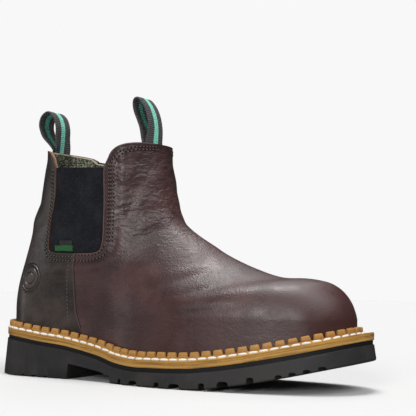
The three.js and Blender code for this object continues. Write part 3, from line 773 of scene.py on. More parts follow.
def layered_tan(name, pale, deep, roughness, streak):
    """Welt and midsole: fine layers along the edge and a mottle."""
    finish, shader = new_finish(name, pale, roughness, Specular_IOR_Level=0.16)
    w = Weave(finish)
    layer = w.attribute("layer", "Vector")
    streaks = w.noise(w.place((16, 16, 1300), layer), 1.0, 3, 0.6)
    long_streaks = w.noise(w.place((30, 30, 420), layer), 1.0, 4, 0.65)
    mottle = w.noise(w.object_place, 75, 4, 0.6)
    colour = w.blend(w.span(streaks, 0.4, 0.7, 0.0, streak), pale, deep)
    deeper, paler = tuple(c * 0.6 for c in deep), tuple(c * 1.25 for c in pale)
    colour = w.blend(w.span(long_streaks, 0.5, 0.72, 0.0, streak * 0.7), colour, deeper)
    colour = w.blend(w.span(mottle, 0.5, 0.75, 0.0, 0.35), colour, paler)
    w.link(colour, shader.inputs["Base Color"])
    w.link(w.bump(streaks, 0.00025, 0.5, w.bump(mottle, 0.0004, 0.3)), shader.inputs["Normal"])
    return finish


def webbing_finish():
    """Ribbed webbing with one stripe down the middle; across runs from 0 to 1 over its width."""
    finish, shader = new_finish("webbing", (0.03, 0.03, 0.033), 0.85)
    w = Weave(finish)
    across, inner = w.parts(w.attribute("strip", "Vector"))[1:3]
    off = w.math("ABSOLUTE", w.math("SUBTRACT", across, 0.5))
    ragged = w.math("MULTIPLY", w.math("SUBTRACT", w.noise(w.object_place, 900, 2, 0.5), 0.5), 0.03)
    stripe = w.span(w.math("ADD", off, ragged), 0.125, 0.15, 1.0, 0.0)
    strip = w.place((1, 1, 1), w.attribute("strip", "Vector"))
    ribs = w.bands(strip, 0.2, "X", 0.25)
    threads = w.bands(strip, 8.0, "Y", 0.3)
    weave = w.math("MULTIPLY", ribs, w.span(threads, 0.0, 1.0, 0.55, 1.0))
    grey = w.blend(weave, (0.035, 0.034, 0.037), (0.125, 0.122, 0.127))
    mint = w.blend(weave, (0.19, 0.6, 0.46), (0.27, 0.78, 0.62))
    teal = w.blend(weave, (0.07, 0.32, 0.25), (0.11, 0.44, 0.35))
    w.link(w.blend(stripe, grey, w.blend(inner, mint, teal)), shader.inputs["Base Color"])
    fuzz = w.bump(w.noise(w.object_place, 2600, 2, 0.6), 0.0001, 0.5)
    w.link(w.bump(weave, 0.0004, 0.8, fuzz), shader.inputs["Normal"])
    return finish


# Outlines of panels in the side view, in shares of the last's length and of the shaft's height

gore_rows = [
    (0.18, 0.851), (0.178, 0.724), (0.171, 0.645), (0.162, 0.54), (0.162, 0.424), (0.166, 0.408),
    (0.18, 0.401), (0.26, 0.396), (0.318, 0.4), (0.336, 0.412), (0.345, 0.445), (0.347, 0.593),
    (0.346, 0.73), (0.345, 0.841),
]
gore_lift = {"lateral": (0.0, 0.0), "medial": (0.07, 0.02)}
tab_rows = {
    "lateral": [(-0.05, 0.955), (0.115, 0.952), (0.145, 0.938), (0.166, 0.905)],
    "medial": [(-0.05, 0.955), (0.115, 0.952), (0.145, 0.945), (0.166, 0.936)],
}
flap_rows = {
    "lateral": [(0.356, 0.88), (0.364, 0.911), (0.378, 0.936), (0.4, 0.954), (0.428, 0.965),
                (0.45, 0.966), (0.55, 0.962)],
    "medial": [(0.356, 0.9), (0.364, 0.93), (0.378, 0.95), (0.4, 0.962), (0.428, 0.97),
               (0.45, 0.967), (0.55, 0.962)],
}
seam_rows = [(0.26, 0.41), (0.252, 0.336), (0.2525, 0.206), (0.258, 0.094), (0.276, 0.0), (0.3, -0.2)]


def side_view(rows, steps=8):
    places = np.array([(along(s), up(h)) for s, h in rows], float)
    return smooth_path(places, steps) if steps > 1 else places


def gore_outline(side, grow=0.0, lower=0.0):
    rows = list(gore_rows)
    rear, front = gore_lift[side]
    rows[0] = (rows[0][0], rows[0][1] + rear - lower)
    rows[-1] = (rows[-1][0], rows[-1][1] + front - lower)
    rim = side_view(rows, 8)
    if grow:
        ahead = np.roll(rim, -1, 0) - np.roll(rim, 1, 0)
        ahead /= np.maximum(np.linalg.norm(ahead, axis=1, keepdims=True), 1e-9)
        rim = rim + np.stack([-ahead[:, 1], ahead[:, 0]], 1) * -grow
    return rim


def sky_outline(side):
    """Everything above the topline, with the gore's slot."""
    tab, flap = side_view(tab_rows[side], 5), side_view(flap_rows[side], 6)
    high = float(up(1.4))
    return np.vstack([tab, gore_outline(side), flap, [(flap[-1][0], high), (tab[0][0], high)]])


def ahead_outline():
    """Everything in front of the side seam."""
    high = float(up(1.5))
    seam = side_view(seam_rows, 8)
    start = (float(along(0.3)), float(up(0.43)))
    end = (float(along(1.1)), float(up(-0.3)))
    return np.vstack([[(start[0], high), start], seam, [end, (end[0], high)]])


fine_counts = {"toe": 44, "sole": 128, "heel": 72, "shaft": 30, "across": 96}
plain_counts = {"toe": 24, "sole": 70, "heel": 40, "shaft": 14, "across": 48}
form_top = float(up(1.1))


def form(offset, counts=None, folds=False, past=0.0):
    return loft(skin_grid(offset, past, form_top + past, counts or plain_counts, folds))


def open_top(piece):
    for side, span in side_spans.items():
        carve(piece, prism(sky_outline(side), *span))


def dress(piece):
    """Burnish, wrinkle and edge shares on a leather panel's points; the edge share also paints shade just
    above the welt.
    """
    p = boot_points(piece)
    x, z = p[:, 0], p[:, 2]
    share, height = share_at(x), (z - leg_base) / shaft_height
    toe = smoothstep(share, 0.70, 0.93)
    low = smoothstep(height, 0.32, 0.02) * smoothstep(share, 0.3, 0.62) * 0.75
    put_attribute(piece, "burnish", np.clip(np.maximum(toe, low), 0, 1))
    flap = smoothstep(height, 0.24, 0.6) * smoothstep(share, 0.30, 0.36)
    vamp = smoothstep(share, 0.78, 0.6) * smoothstep(share, 0.26, 0.36) * 0.2
    band = smoothstep(height, 0.36, 0.46) * smoothstep(height, 0.72, 0.6)
    rear = smoothstep(share, 0.2, 0.08) * band * 0.55
    put_attribute(piece, "wrinkle", np.clip(np.maximum.reduce([flap, vamp, rear]), 0.1, 1))
    edge = np.zeros(len(p))
    for side, mask in (("lateral", p[:, 1] < 0), ("medial", p[:, 1] >= 0)):
        places = p[mask][:, [0, 2]]
        rim = distance_to(places, side_view(flap_rows[side], 4))
        band = distance_to(places, gore_outline(side)[40:])
        edge[mask] = np.maximum(smoothstep(rim, 7.5, 4.0), 0.45 * smoothstep(band, 11.0, 7.5))
    floor_gap = z - welt_top(x)
    # Painted shade: the leather darkens towards its join with the welt.
    edge = np.maximum(edge, 0.6 * smoothstep(floor_gap, 5.5, 1.5))
    put_attribute(piece, "edge", edge)


brown = leather(
    "brown_leather", (0.053, 0.02, 0.0195), (0.035, 0.0138, 0.0138), (0.07, 0.0285, 0.027),
    (0.05, 0.0138, 0.0122), 0.47, 0.28,
)
olive = leather(
    "rear_leather", (0.034, 0.024, 0.0205), (0.018, 0.013, 0.0115), (0.054, 0.038, 0.032),
    (0.052, 0.026, 0.02), 0.4, 0.3, True,
)
raw_edge = plain_finish("raw_leather_edge", (0.24, 0.085, 0.035), 0.8)
lining_cloth = mottled_knit("lining_knit", (0.018, 0.022, 0.015), (0.3, 0.3, 0.21))
elastic = twill("elastic_gore", (0.006, 0.0065, 0.0095), (0.03, 0.031, 0.04), 300, 0.0003, 38)
tape = plain_finish("pale_tape", (0.6, 0.52, 0.38), 0.85)
thread_brown = plain_finish("brown_thread", (0.13, 0.085, 0.078), 0.5)
thread_olive = plain_finish("olive_thread", (0.09, 0.078, 0.062), 0.6)
# Painted shade: near-black marks stand for the shade in the needle holes.
needle_hole_shade = plain_finish("needle_hole_shade", (0.004, 0.003, 0.003), 0.9)
thread_white = plain_finish("white_thread", (0.74, 0.72, 0.69), 0.55, Sheen_Weight=0.2)
board = plain_finish("insole_cloth", (0.05, 0.05, 0.042), 0.9)
rubber = rubber_finish()
midsole_tan = layered_tan("midsole_tan", (0.45, 0.255, 0.072), (0.2, 0.09, 0.02), 0.5, 0.95)
welt_tan = layered_tan("welt_tan", (0.45, 0.24, 0.05), (0.2, 0.09, 0.018), 0.48, 0.9)
tooth_tan = layered_tan("bead_tan", (0.42, 0.215, 0.062), (0.24, 0.105, 0.027), 0.42, 0.5)
webbing = webbing_finish()
green_cloth = twill("green_cloth", (0.022, 0.1, 0.032), (0.05, 0.2, 0.07), 1400, 0.0002)
grey_cloth = twill("grey_cloth", (0.026, 0.028, 0.027), (0.05, 0.052, 0.05), 1400, 0.0002)


def paint_cut_faces(piece, finish, lowest):
    """The cut edges of a leather wall above a height: faces that stand across the skin."""
    piece.data.materials.append(finish)
    p = boot_points(piece)
    for face in piece.data.polygons:
        centre = p[list(face.vertices)].mean(0)
        across = abs(normal_at(*centre) @ np.array(face.normal)) < 0.45
        if across and centre[2] > up(lowest):
            face.material_index = 1


# Upper: vamp with its front flap, one step proud of the rear quarters

inner_form = form(-liner_wall, past=8.0)
vamp = form(vamp_step, fine_counts, True)
carve(vamp, prism(ahead_outline(), -ball_width, ball_width), "INTERSECT")
carve(vamp, inner_form, keep=True)
open_top(vamp)
finish_piece(vamp, brown, ["upper"])
vamp.name = "vamp"
dress(vamp)

quarters = form(0.0, fine_counts, True)
carve(quarters, prism(ahead_outline() + np.array([0.15, 0.0]), -ball_width, ball_width))
carve(quarters, inner_form, keep=True)
open_top(quarters)
finish_piece(quarters, olive)
quarters.name = "rear_quarters"
dress(quarters)
paint_cut_faces(quarters, raw_edge, 0.385)


# Footprint of the sole: shares run from the heel along the lateral side to the toe and back

def footprint_line(side):
    heel, tip = hub[0] - back_reach, hub[0] + front_reach
    x = (heel + tip) / 2 - (tip - heel) / 2 * np.cos(np.linspace(0, np.pi, 241))
    out = half_width(x, np.full(x.shape, hub[1]), side)
    out[[0, -1]] = 0
    return np.stack([x, centre_line(x) + (-out if side == "lateral" else out)], 1)


footprint = {side: footprint_line(side) for side in ("lateral", "medial")}
walked = {
    side: np.r_[0, np.cumsum(np.linalg.norm(np.diff(line, axis=0), axis=1))]
    for side, line in footprint.items()
}


def around(share, out):
    """Points at shares of the way round, moved out from the footprint."""
    share = np.mod(np.asarray(share, float), 1.0)
    out = np.broadcast_to(out, share.shape)
    place = np.empty(share.shape + (2,))
    for side, sign in (("lateral", -1.0), ("medial", 1.0)):
        mask = share <= 0.5 if side == "lateral" else share > 0.5
        line, lengths = footprint[side], walked[side]
        at = (2 * share[mask] if side == "lateral" else 2 - 2 * share[mask]) * lengths[-1]
        tangent = np.gradient(line, axis=0)
        tangent /= np.linalg.norm(tangent, axis=1, keepdims=True)
        tangent[0], tangent[-1] = (0, sign), (0, -sign)
        tx, ty = np.interp(at, lengths, tangent[:, 0]), np.interp(at, lengths, tangent[:, 1])
        normal = np.stack([ty, -tx], 1) * -sign
        normal /= np.linalg.norm(normal, axis=1, keepdims=True)
        base = np.stack([np.interp(at, lengths, line[:, 0]), np.interp(at, lengths, line[:, 1])], 1)
        place[mask] = base + normal * out[mask][:, None]
    return place


def reach_out(share):
    turn = np.cos(2 * np.pi * np.asarray(share, float))
    return welt_reach + (np.where(turn < 0, toe_reach, heel_reach) - welt_reach) * turn ** 4


def put_layer(piece):
    """Place of each point for layered materials: x, y and height over the deck, in metres."""
    p = boot_points(piece)
    layer = np.stack([p[:, 0], p[:, 1], p[:, 2] - deck_height(p[:, 0])], 1) * MM
    put_attribute(piece, "layer", layer)


def plate_body(name, levels, count=480):
    """Body with the footprint's outline; its levels run from the bottom up."""
    share = np.arange(count) / count
    rings = []
    for reach, height in levels:
        place = around(share, reach(share) if callable(reach) else reach)
        rings.append(np.column_stack([place, height(place[:, 0])]))
    faces = ring_faces(len(levels), count)
    for base in (0, (len(levels) - 1) * count):
        for i in range(count // 2):
            quad = (base + i, base + i + 1, base + (count - i - 1) % count, base + (count - i) % count)
            faces.append(tuple(dict.fromkeys(quad)))
    return closed_object(name, to_frame(np.concatenate(rings)), faces)


def ring_body(name, section, count):
    """Closed ring round the footprint; section gives points (out, height over the seat)."""
    share = np.arange(count) / count
    columns = []
    for out, height in section(share):
        place = around(share, out)
        columns.append(np.column_stack([place, seat_height(place[:, 0]) + height]))
    verts = to_frame(np.stack(columns, 1).reshape(-1, 3))
    return closed_object(name, verts, ring_faces(count, len(columns), closed=True))


# Sole unit

def raised(height, by):
    return lambda x: height(x) + by


def flared(share):
    return reach_out(share) + tread_flare + heel_flare * np.maximum(0, np.cos(2 * np.pi * share)) ** 4


def wall_level(t):
    """Level of the flared side wall, a share of the way up from the tread."""
    def reach(share):
        return flared(share) + (reach_out(share) + 0.1 - flared(share)) * t

    def height(x):
        low = tread_height(x) + 1.1
        return low + (deck_height(x) - edge_band - 0.4 - low) * t
    return reach, height


outsole = plate_body("rubber_sole", [
    (lambda s: flared(s) - 1.3, raised(tread_height, 0.0)),
    (lambda s: flared(s) - 0.4, raised(tread_height, 0.3)),
    *(wall_level(t) for t in (0.0, 0.36, 0.52, 0.68, 0.84, 1.0)),
    (lambda s: reach_out(s) - 0.2, raised(deck_height, -edge_band)),
    (lambda s: reach_out(s) - edge_recess, raised(deck_height, -edge_band + 0.1)),
    (lambda s: reach_out(s) - edge_recess, raised(deck_height, -1.5)),
    (lambda s: reach_out(s) - edge_recess, raised(deck_height, -0.2)),
    (lambda s: reach_out(s) - edge_recess - 0.2, deck_height),
])


def arch(x, floor, width, height, corner):
    """Rounded-top notch in the side view."""
    turn = np.linspace(0, np.pi / 2, 5)
    left = [
        (x - width / 2 + corner * (1 - math.cos(a)), floor + height - corner * (1 - math.sin(a)))
        for a in turn
    ]
    right = [(2 * x - a, b) for a, b in left[::-1]]
    return [(x - width / 2, floor - 3)] + left + right + [(x + width / 2, floor - 3)]


waist = [(float(along(s)), h * heel_height) for s, h in waist_rows]
carve(outsole, prism(waist, -ball_width, ball_width))
for s, width, height in tread_rows:
    x, floor = float(along(s)), float(tread_height(along(s)))
    width, height = width * last_length, height * outsole_thickness
    corner = min(width * 0.35, height * 0.6)
    for at in (s / 2, 1 - s / 2):
        edge = float(around(np.array([at]), 0.0)[0, 1])
        way = math.copysign(1.0, edge)
        span = sorted((edge - way * 4.5, edge + way * 26))
        carve(outsole, prism(arch(x, floor, width, height, corner), *span))
    if s > 0.75:
        channel = arch(x, floor, 4.8, 2.7, 1.0)
    else:
        channel = arch(x, floor, min(width, 3.4), 1.6, 0.6)
    carve(outsole, prism(channel, -ball_width, ball_width))
finish_piece(outsole, rubber, ["outsole"], 32)
put_layer(outsole)

midsole = plate_body("tan_midsole", [
    (lambda s: reach_out(s) - 0.35, raised(deck_height, 0.05)),
    (lambda s: reach_out(s) - 0.05, raised(deck_height, 0.35)),
    (reach_out, raised(deck_height, 1.4)),
    (reach_out, raised(seat_height, -0.12)),
    (lambda s: reach_out(s) - 0.15, raised(seat_height, -0.01)),
])
finish_piece(midsole, midsole_tan, ["midsole"], 50)
put_layer(midsole)


def welt_section(share):
    """The rim and, against the upper, the foot of the bead."""
    reach, stand = reach_out(share), bead_stand
    return [
        (stand, 4.5), (stand + 0.5, 4.8), (np.minimum(stand + 2.9, reach - 1.9), 4.75),
        (np.minimum(stand + 3.6, reach - 1.4), 4.2), (np.minimum(stand + 3.9, reach - 1.1), 3.0),
        (np.minimum(stand + 4.6, reach - 0.8), 2.6), (reach - 0.5, 2.6), (reach - 0.12, 2.42),
        (reach, 2.1), (reach, 1.2), (reach - 0.02, 0.15), (reach - 0.15, 0.02), (stand, 0.02),
    ]


welt = ring_body("welt_rim", welt_section, ring_count)
finish_piece(welt, welt_tan, ["welt"], 50)
put_layer(welt)

insole = plate_body("insole_board", [
    (-3.6, raised(seat_height, 0.3)), (-3.6, raised(seat_height, 3.5)),
    (-4.0, raised(seat_height, 4.1)), (-4.8, raised(seat_height, 4.3)),
], 240)
finish_piece(insole, board, ["insole"])


# Rows of teeth and stitches, one piece repeated along a path

def row_tree():
    """Node group that sets copies of a piece along a path."""
    tree = bpy.data.node_groups.new("along_path", "GeometryNodeTree")
    face = tree.interface
    face.new_socket("Geometry", in_out="INPUT", socket_type="NodeSocketGeometry")
    for name, kind in (
        ("Piece", "NodeSocketObject"), ("Count", "NodeSocketInt"), ("Turn", "NodeSocketFloat"),
        ("Jitter", "NodeSocketFloat"), ("Seed", "NodeSocketInt"), ("Finish", "NodeSocketMaterial"),
    ):
        face.new_socket(name, in_out="INPUT", socket_type=kind)
    face.new_socket("Geometry", in_out="OUTPUT", socket_type="NodeSocketGeometry")
    given = tree.nodes.new("NodeGroupInput").outputs

    def add(kind, inputs, **values):
        """New node's outputs; inputs gives each input its value or the socket to link."""
        made = tree.nodes.new(kind)
        for name, value in values.items():
            setattr(made, name, value)
        for key, value in inputs.items():
            if isinstance(value, bpy.types.NodeSocket):
                tree.links.new(value, made.inputs[key])
            else:
                made.inputs[key].default_value = value
        return made.outputs

    curve = add("GeometryNodeMeshToCurve", {0: given["Geometry"]})
    spaced = add("GeometryNodeResampleCurve", {"Curve": curve[0], "Count": given["Count"]})
    tangent = add("GeometryNodeInputTangent", {})
    along_run = add("FunctionNodeAlignRotationToVector", {"Vector": tangent[0]}, axis="X")
    upward = add("GeometryNodeInputNamedAttribute", {"Name": "up"}, data_type="FLOAT_VECTOR")
    upright = add(
        "FunctionNodeAlignRotationToVector", {"Rotation": along_run[0], "Vector": upward["Attribute"]},
        axis="Z", pivot_axis="X",
    )
    chance = add(
        "FunctionNodeRandomValue", {0: (-1, -1, -1), 1: (1, 1, 1), "Seed": given["Seed"]},
        data_type="FLOAT_VECTOR",
    )
    spread = add("ShaderNodeVectorMath", {0: chance[0], "Scale": given["Jitter"]}, operation="SCALE")
    lean = add("ShaderNodeCombineXYZ", {2: given["Turn"]})
    angle = add("ShaderNodeVectorMath", {0: spread[0], 1: lean[0]})
    turned = add("FunctionNodeEulerToRotation", {0: angle[0]})
    placed = add("FunctionNodeRotateRotation", {0: upright[0], 1: turned[0]}, rotation_space="LOCAL")
    shape = add("GeometryNodeObjectInfo", {0: given["Piece"]})
    copies = add("GeometryNodeInstanceOnPoints", {
        "Points": spaced[0], "Instance": shape["Geometry"], "Rotation": placed[0],
    })
    real = add("GeometryNodeRealizeInstances", {0: copies[0]})
    painted = add("GeometryNodeSetMaterial", {"Geometry": real[0], "Material": given["Finish"]})
    add("NodeGroupOutput", {0: painted[0]})
    return tree


path_tree = row_tree()
path_inputs = {
    item.name: item.identifier for item in path_tree.interface.items_tree if item.in_out == "INPUT"
}


def between(points, ups, pitch):
    """The path cut by half a stitch at both ends, so that marks fall between the stitches."""
    run = np.r_[0, np.cumsum(np.linalg.norm(np.diff(points, axis=0), axis=1))]
    step = run[-1] / max(1, round(run[-1] / pitch))
    places = np.linspace(step / 2, run[-1] - step / 2, max(8, len(points)))
    return [
        np.stack([np.interp(places, run, column) for column in np.asarray(part).T], 1)
        for part in (points, ups)
    ]


def row_along(name, paths, shape, pitch, finish, turn=0.0, jitter=0.0, seed=1, closed=False):
    """Repeats a shape along each path of points and up vectors, as one mesh."""
    work = bmesh.new()
    for number, (points, ups) in enumerate(paths):
        points = np.asarray(points, float)
        n = len(points)
        edges = [(i, i + 1) for i in range(n - 1)] + ([(n - 1, 0)] if closed else [])
        path = plain_object(name, to_frame(points), [], edges)
        put_attribute(path, "up", ups)
        ring = np.vstack([points, points[:1]]) if closed else points
        length = np.linalg.norm(np.diff(ring, axis=0), axis=1).sum()
        step = path.modifiers.new("row", "NODES")
        step.node_group = path_tree
        values = {
            "Piece": shape, "Count": max(2, round(length / pitch) + (0 if closed else 1)),
            "Turn": turn, "Jitter": jitter, "Seed": seed + number, "Finish": finish,
        }
        for key, value in values.items():
            step[path_inputs[key]] = value
        path.data.update()
        work.from_mesh(evaluated_mesh(path))
        bpy.data.objects.remove(path)
    piece = plain_object(name, [], [])
    work.to_mesh(piece.data)
    work.free()
    return finish_piece(piece, finish, (), 180)


def pill(length, width, height, segments, rings):
    """Rounded stitch lying along X, in mm."""
    work = bmesh.new()
    bmesh.ops.create_uvsphere(work, u_segments=segments, v_segments=rings, radius=0.5)
    for v in work.verts:
        x, y, z = v.co
        fuller = math.copysign(abs(2 * z) ** 0.8, z) / 2
        v.co = Vector((fuller * length, x * width, y * height)) * MM
    return outwards(plain_object("stitch_shape", [], []), work)


def tooth():
    """Rounded block of the bead, in mm, with its foot at zero."""
    long, wide, high = tooth_pitch * 0.85, bead_width, 4.15
    long_taper, wide_taper, rounding = 1.7, 0.5, 0.7
    work = bmesh.new()
    bmesh.ops.create_cube(work, size=1.0)
    for v in work.verts:
        x, y, z = v.co
        top = z + 0.5
        v.co = Vector((x * (long - long_taper * top), y * (wide - wide_taper * top), top * high)) * MM
    bmesh.ops.bevel(
        work, geom=list(work.edges), offset=rounding * MM, segments=2, profile=0.55, affect="EDGES",
        clamp_overlap=True,
    )
    return outwards(plain_object("tooth_shape", [], []), work)


ring_shares = np.arange(ring_count) / ring_count
bead_out = np.minimum(bead_stand + bead_width / 2, reach_out(ring_shares) - bead_width / 2 - 1.1)
bead_place = around(ring_shares, bead_out)
bead_line = np.column_stack([bead_place, seat_height(bead_place[:, 0]) + 4.2])
upright = np.tile([0.0, 0.0, 1.0], (ring_count, 1))
tooth_shape = tooth()
teeth = row_along(
    "bead_teeth", [(bead_line, upright)], tooth_shape, tooth_pitch, tooth_tan,
    jitter=0.03, seed=3, closed=True,
)
put_layer(teeth)
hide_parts("welt")

stitch_place = around(ring_shares, np.minimum(6.7, reach_out(ring_shares) - 1.3))
stitch_line = np.column_stack([stitch_place, seat_height(stitch_place[:, 0]) + welt_thickness + 0.55])
welt_stitch = pill(6.6, 2.2, 2.1, 10, 8)
row_along(
    "welt_stitches", [(stitch_line, upright)], welt_stitch, 7.4, thread_white,
    turn=0.07, jitter=0.07, seed=5, closed=True,
)


# Elastic panels, lining and tag

loop_rows = {
    "back": [(0, 0), (0.03, 0.3), (0.03, 0.62), (-0.07, 0.88), (-0.24, 1), (-0.42, 0.9),
             (-0.49, 0.68), (-0.39, 0.38), (-0.18, 0.12), (-0.09, 0)],
    "front": [(0, 0), (0.01, 0.33), (-0.05, 0.62), (-0.17, 0.86), (-0.32, 1), (-0.4, 0.95),
              (-0.4, 0.76), (-0.28, 0.46), (-0.14, 0.14), (-0.09, 0)],
}
loop_height = {"back": 31.5, "front": 34.4}
loop_foot = {"back": 0.962, "front": 0.978}
loop_off = {"back": 0.0, "front": -6.5}

for side, (near, far) in {"lateral": (-ball_width, -4.0), "medial": (4.0, ball_width)}.items():
    gore = form(-elastic_sink, {"toe": 6, "sole": 40, "heel": 60, "shaft": 26, "across": 80})
    carve(gore, prism(gore_outline(side, -0.05, 0.004), near, far), "INTERSECT")
    carve(gore, form(-elastic_sink - elastic_thickness, past=8.0))
    finish_piece(gore, elastic, ["gore_" + side])
    gore.name = "elastic_" + side


def lining_top(side, lower):
    rear, front = gore_lift[side]
    tab, flap = side_view(tab_rows[side], 5), side_view(flap_rows[side], 6)
    (rear_x, rear_top), (front_x, front_top) = gore_rows[0], gore_rows[-1]
    gore = side_view([(rear_x, rear_top + rear - 0.01), (front_x, front_top + front - 0.01)], 1)
    line = np.vstack([tab, gore, flap]) - np.array([0.0, lower])
    high = float(up(1.4))
    return np.vstack([line, [(line[-1][0], high), (line[0][0], high)]])


def lining_shell(outer, inner):
    shell = form(outer, {"toe": 14, "sole": 60, "heel": 44, "shaft": 18, "across": 60})
    carve(shell, form(inner, past=8.0))
    for side, span in side_spans.items():
        carve(shell, prism(lining_top(side, 0.5), *span))
    return shell


def clear_of_tails(depth):
    """Offset of the lining; it swells inwards over the loops' tails."""
    def offset(x, y, z):
        swell = 0.0
        for end, reach in (("back", 5.0), ("front", 4.4)):
            off = np.abs(y - loop_off[end])
            own = (x > hub[0]) if end == "front" else (x <= hub[0])
            foot = float(up(loop_foot[end])) - web["tail"]
            high = smoothstep(z, foot - 9, foot - 1)
            near = smoothstep(off, web["width"] / 2 + 6, web["width"] / 2 + 0.5)
            swell = swell + reach * own * high * near
        return -liner_wall - depth - swell
    return offset


lining = lining_shell(clear_of_tails(0.25), clear_of_tails(0.9))
finish_piece(lining, lining_cloth)
lining.name = "lining"

binding = lining_shell(clear_of_tails(-0.1), clear_of_tails(1.3))
foot, sky = float(up(-0.5)), float(up(1.5))
for side, span in side_spans.items():
    low = lining_top(side, 1.5)[:-2]
    carve(binding, prism(np.vstack([low, [(low[-1][0], foot), (low[0][0], foot)]]), *span))
front = float(along(0.549))
ahead = [(front, foot), (front + 90, foot), (front + 90, sky), (front, sky)]
carve(binding, prism(ahead, -ball_width, ball_width))
finish_piece(binding, tape)
binding.name = "lining_tape"

tag_counts = {"toe": 4, "sole": 30, "heel": 60, "shaft": 6, "across": 70}
tag_top = form(0.1, tag_counts)
carve(tag_top, form(-0.6, tag_counts, past=8.0))
for name, finish, rows in (
    ("tag_green", green_cloth, [(0.1875, 0.409), (0.249, 0.407), (0.249, 0.436), (0.1868, 0.437)]),
    ("tag_grey", grey_cloth, [(0.2035, 0.4365), (0.2475, 0.4365), (0.2475, 0.462), (0.204, 0.4635)]),
):
    piece = bpy.data.objects.new(name, tag_top.data.copy())
    bpy.context.scene.collection.objects.link(piece)
    carve(piece, prism(side_view(rows, 1), -ball_width, -4.0), "INTERSECT")
    finish_piece(piece, finish, ["label_tag"] if name == "tag_green" else ())
bpy.data.objects.remove(tag_top)
bpy.data.objects.remove(inner_form)


# Webbing loops with their ends down inside the shaft

def shaft_inside(end, off, z):
    """X of the lining side of the shaft at a distance off the centre line."""
    away = 1.0 if end == "front" else -1.0
    z, off = np.broadcast_arrays(np.asarray(z, float), np.asarray(off, float))
    start = np.full(z.shape, hub[0])
    x = border(lambda x: field_at(x, off, z) <= 0, start, start + away * 2 * back_reach)
    return x - away * liner_wall / np.abs(normal_at(x, off, z)[..., 0])


def pull_loop(end):
    """Flat webbing along the loop's path; it follows the shaft below and straightens above."""
    foot, size, off = float(up(loop_foot[end])), loop_height[end], loop_off[end]
    away = 1.0 if end == "front" else -1.0
    thick, width, tail = web["thickness"], web["width"], web["tail"]

    def wall(z):
        return float(shaft_inside(end, off, z)) - away * (web["clearance"] + thick)

    start = wall(foot) + (thick / 2 if end == "front" else size * 0.09 - thick / 2)
    rows = np.array([(start + run * size, foot + rise * size) for run, rise in loop_rows[end]])
    lean = wall(foot - tail) - wall(foot)
    ends = [(p[0] + lean * t, foot - tail * t) for p in (rows[0], rows[-1]) for t in (1.0, 0.5)]
    line = np.vstack([ends[:2], smooth_path(rows, 9), ends[3:1:-1]])
    line = line[np.r_[True, np.linalg.norm(np.diff(line, axis=0), axis=1) > 0.05]]
    ahead = np.gradient(line, axis=0)
    ahead /= np.linalg.norm(ahead, axis=1, keepdims=True)
    side = np.stack([ahead[:, 1], -ahead[:, 0]], 1)
    run = np.r_[0, np.cumsum(np.linalg.norm(np.diff(line, axis=0), axis=1))]
    cells = 18
    across = np.linspace(0, 1, cells + 1)
    section = [(a, 0.5) for a in across] + [(a, -0.5) for a in across[::-1]]
    verts, strips = [], []
    for place, out, d in zip(line, side, run):
        for a, t in section:
            round_off = 0.62 if a in (0.0, 1.0) else 1.0
            y = off + (a - 0.5) * width
            x, z = place + out * t * thick * round_off * 0.96
            level = min(z, foot)
            flat = float(smoothstep(z, foot, foot + 0.4 * size))
            verts.append((x, y, z, 1 - 0.85 * flat, level))
            strips.append((d, a, 1.0 if t < 0 else 0.0))
    verts = np.array(verts)
    bend = shaft_inside(end, verts[:, 1], verts[:, 4]) - shaft_inside(end, off, verts[:, 4])
    verts[:, 0] += bend * verts[:, 3]
    ring = len(section)
    faces = ring_faces(len(line), ring)
    for base in (0, (len(line) - 1) * ring):
        for j in range(cells):
            faces.append((base + j, base + j + 1, base + ring - 2 - j, base + ring - 1 - j))
    piece = plain_object("webbing_" + end, to_frame(verts[:, :3]), faces)
    put_attribute(piece, "strip", strips)
    finish_piece(outwards(piece), webbing, ["pull_loop_" + end], 60)


pull_loop("back")
pull_loop("front")


# Leather stitches

def on_leather(rows, side, lift, steps=10):
    """Points on the leather and their normals along a line of side-view shares."""
    flat = smooth_path(np.array([(along(s), up(h)) for s, h in rows], float), steps)
    x, z = flat[:, 0], flat[:, 1]
    out = half_width(x, z, side)
    y = centre_line(x) + (-out if side == "lateral" else out)
    normal = normal_at(x, y, z)
    raise_by = lift + relief_at(x, z, side)
    return np.stack([x, y, z], 1) + normal * raise_by[:, None], normal


# Stitch rows and edges in shares of the sole's length and of the height, as seen from the side
beside_gore = [(0.361, 0.85), (0.361, 0.7), (0.361, 0.55), (0.3605, 0.45)]
front_stitches = [
    [(share + shift, height) for share, height in beside_gore] for shift in (0.0, 0.007, 0.0145)
]
front_stitches += [
    [(0.3646, 0.414), (0.347, 0.383), (0.322, 0.367), (0.29, 0.357), (0.257, 0.362)],
    [(0.353, 0.439), (0.341, 0.408), (0.322, 0.393), (0.29, 0.388), (0.257, 0.387)],
    [(0.3677, 0.847), (0.3732, 0.882), (0.3844, 0.907), (0.404, 0.928), (0.43, 0.944), (0.449, 0.950)],
    [(0.3765, 0.846), (0.382, 0.872), (0.392, 0.897), (0.408, 0.9155), (0.430, 0.929), (0.450, 0.934)],
]
rear_stitches = [
    [
        (0.1615, 0.84), (0.161, 0.68), (0.156, 0.573), (0.151, 0.466), (0.1525, 0.405), (0.164, 0.373),
        (0.19, 0.362), (0.246, 0.358),
    ],
    [
        (0.17, 0.835), (0.168, 0.68), (0.162, 0.573), (0.156, 0.466), (0.1575, 0.412), (0.169, 0.389),
        (0.195, 0.381), (0.246, 0.378),
    ],
]
seam_stitches = [(0.233, 0.351), (0.229, 0.258), (0.229, 0.154), (0.233, 0.051)]
gore_edge = [(0.3465, 0.83), (0.3485, 0.6), (0.3465, 0.45), (0.337, 0.408), (0.318, 0.396), (0.262, 0.392)]
lateral_rim = [
    (0.45, 0.9625), (0.428, 0.9615), (0.4, 0.9505), (0.379, 0.9325), (0.3655, 0.9085), (0.3575, 0.879),
    (0.3485, 0.845),
]
front_edge = {"lateral": lateral_rim + gore_edge, "medial": gore_edge}
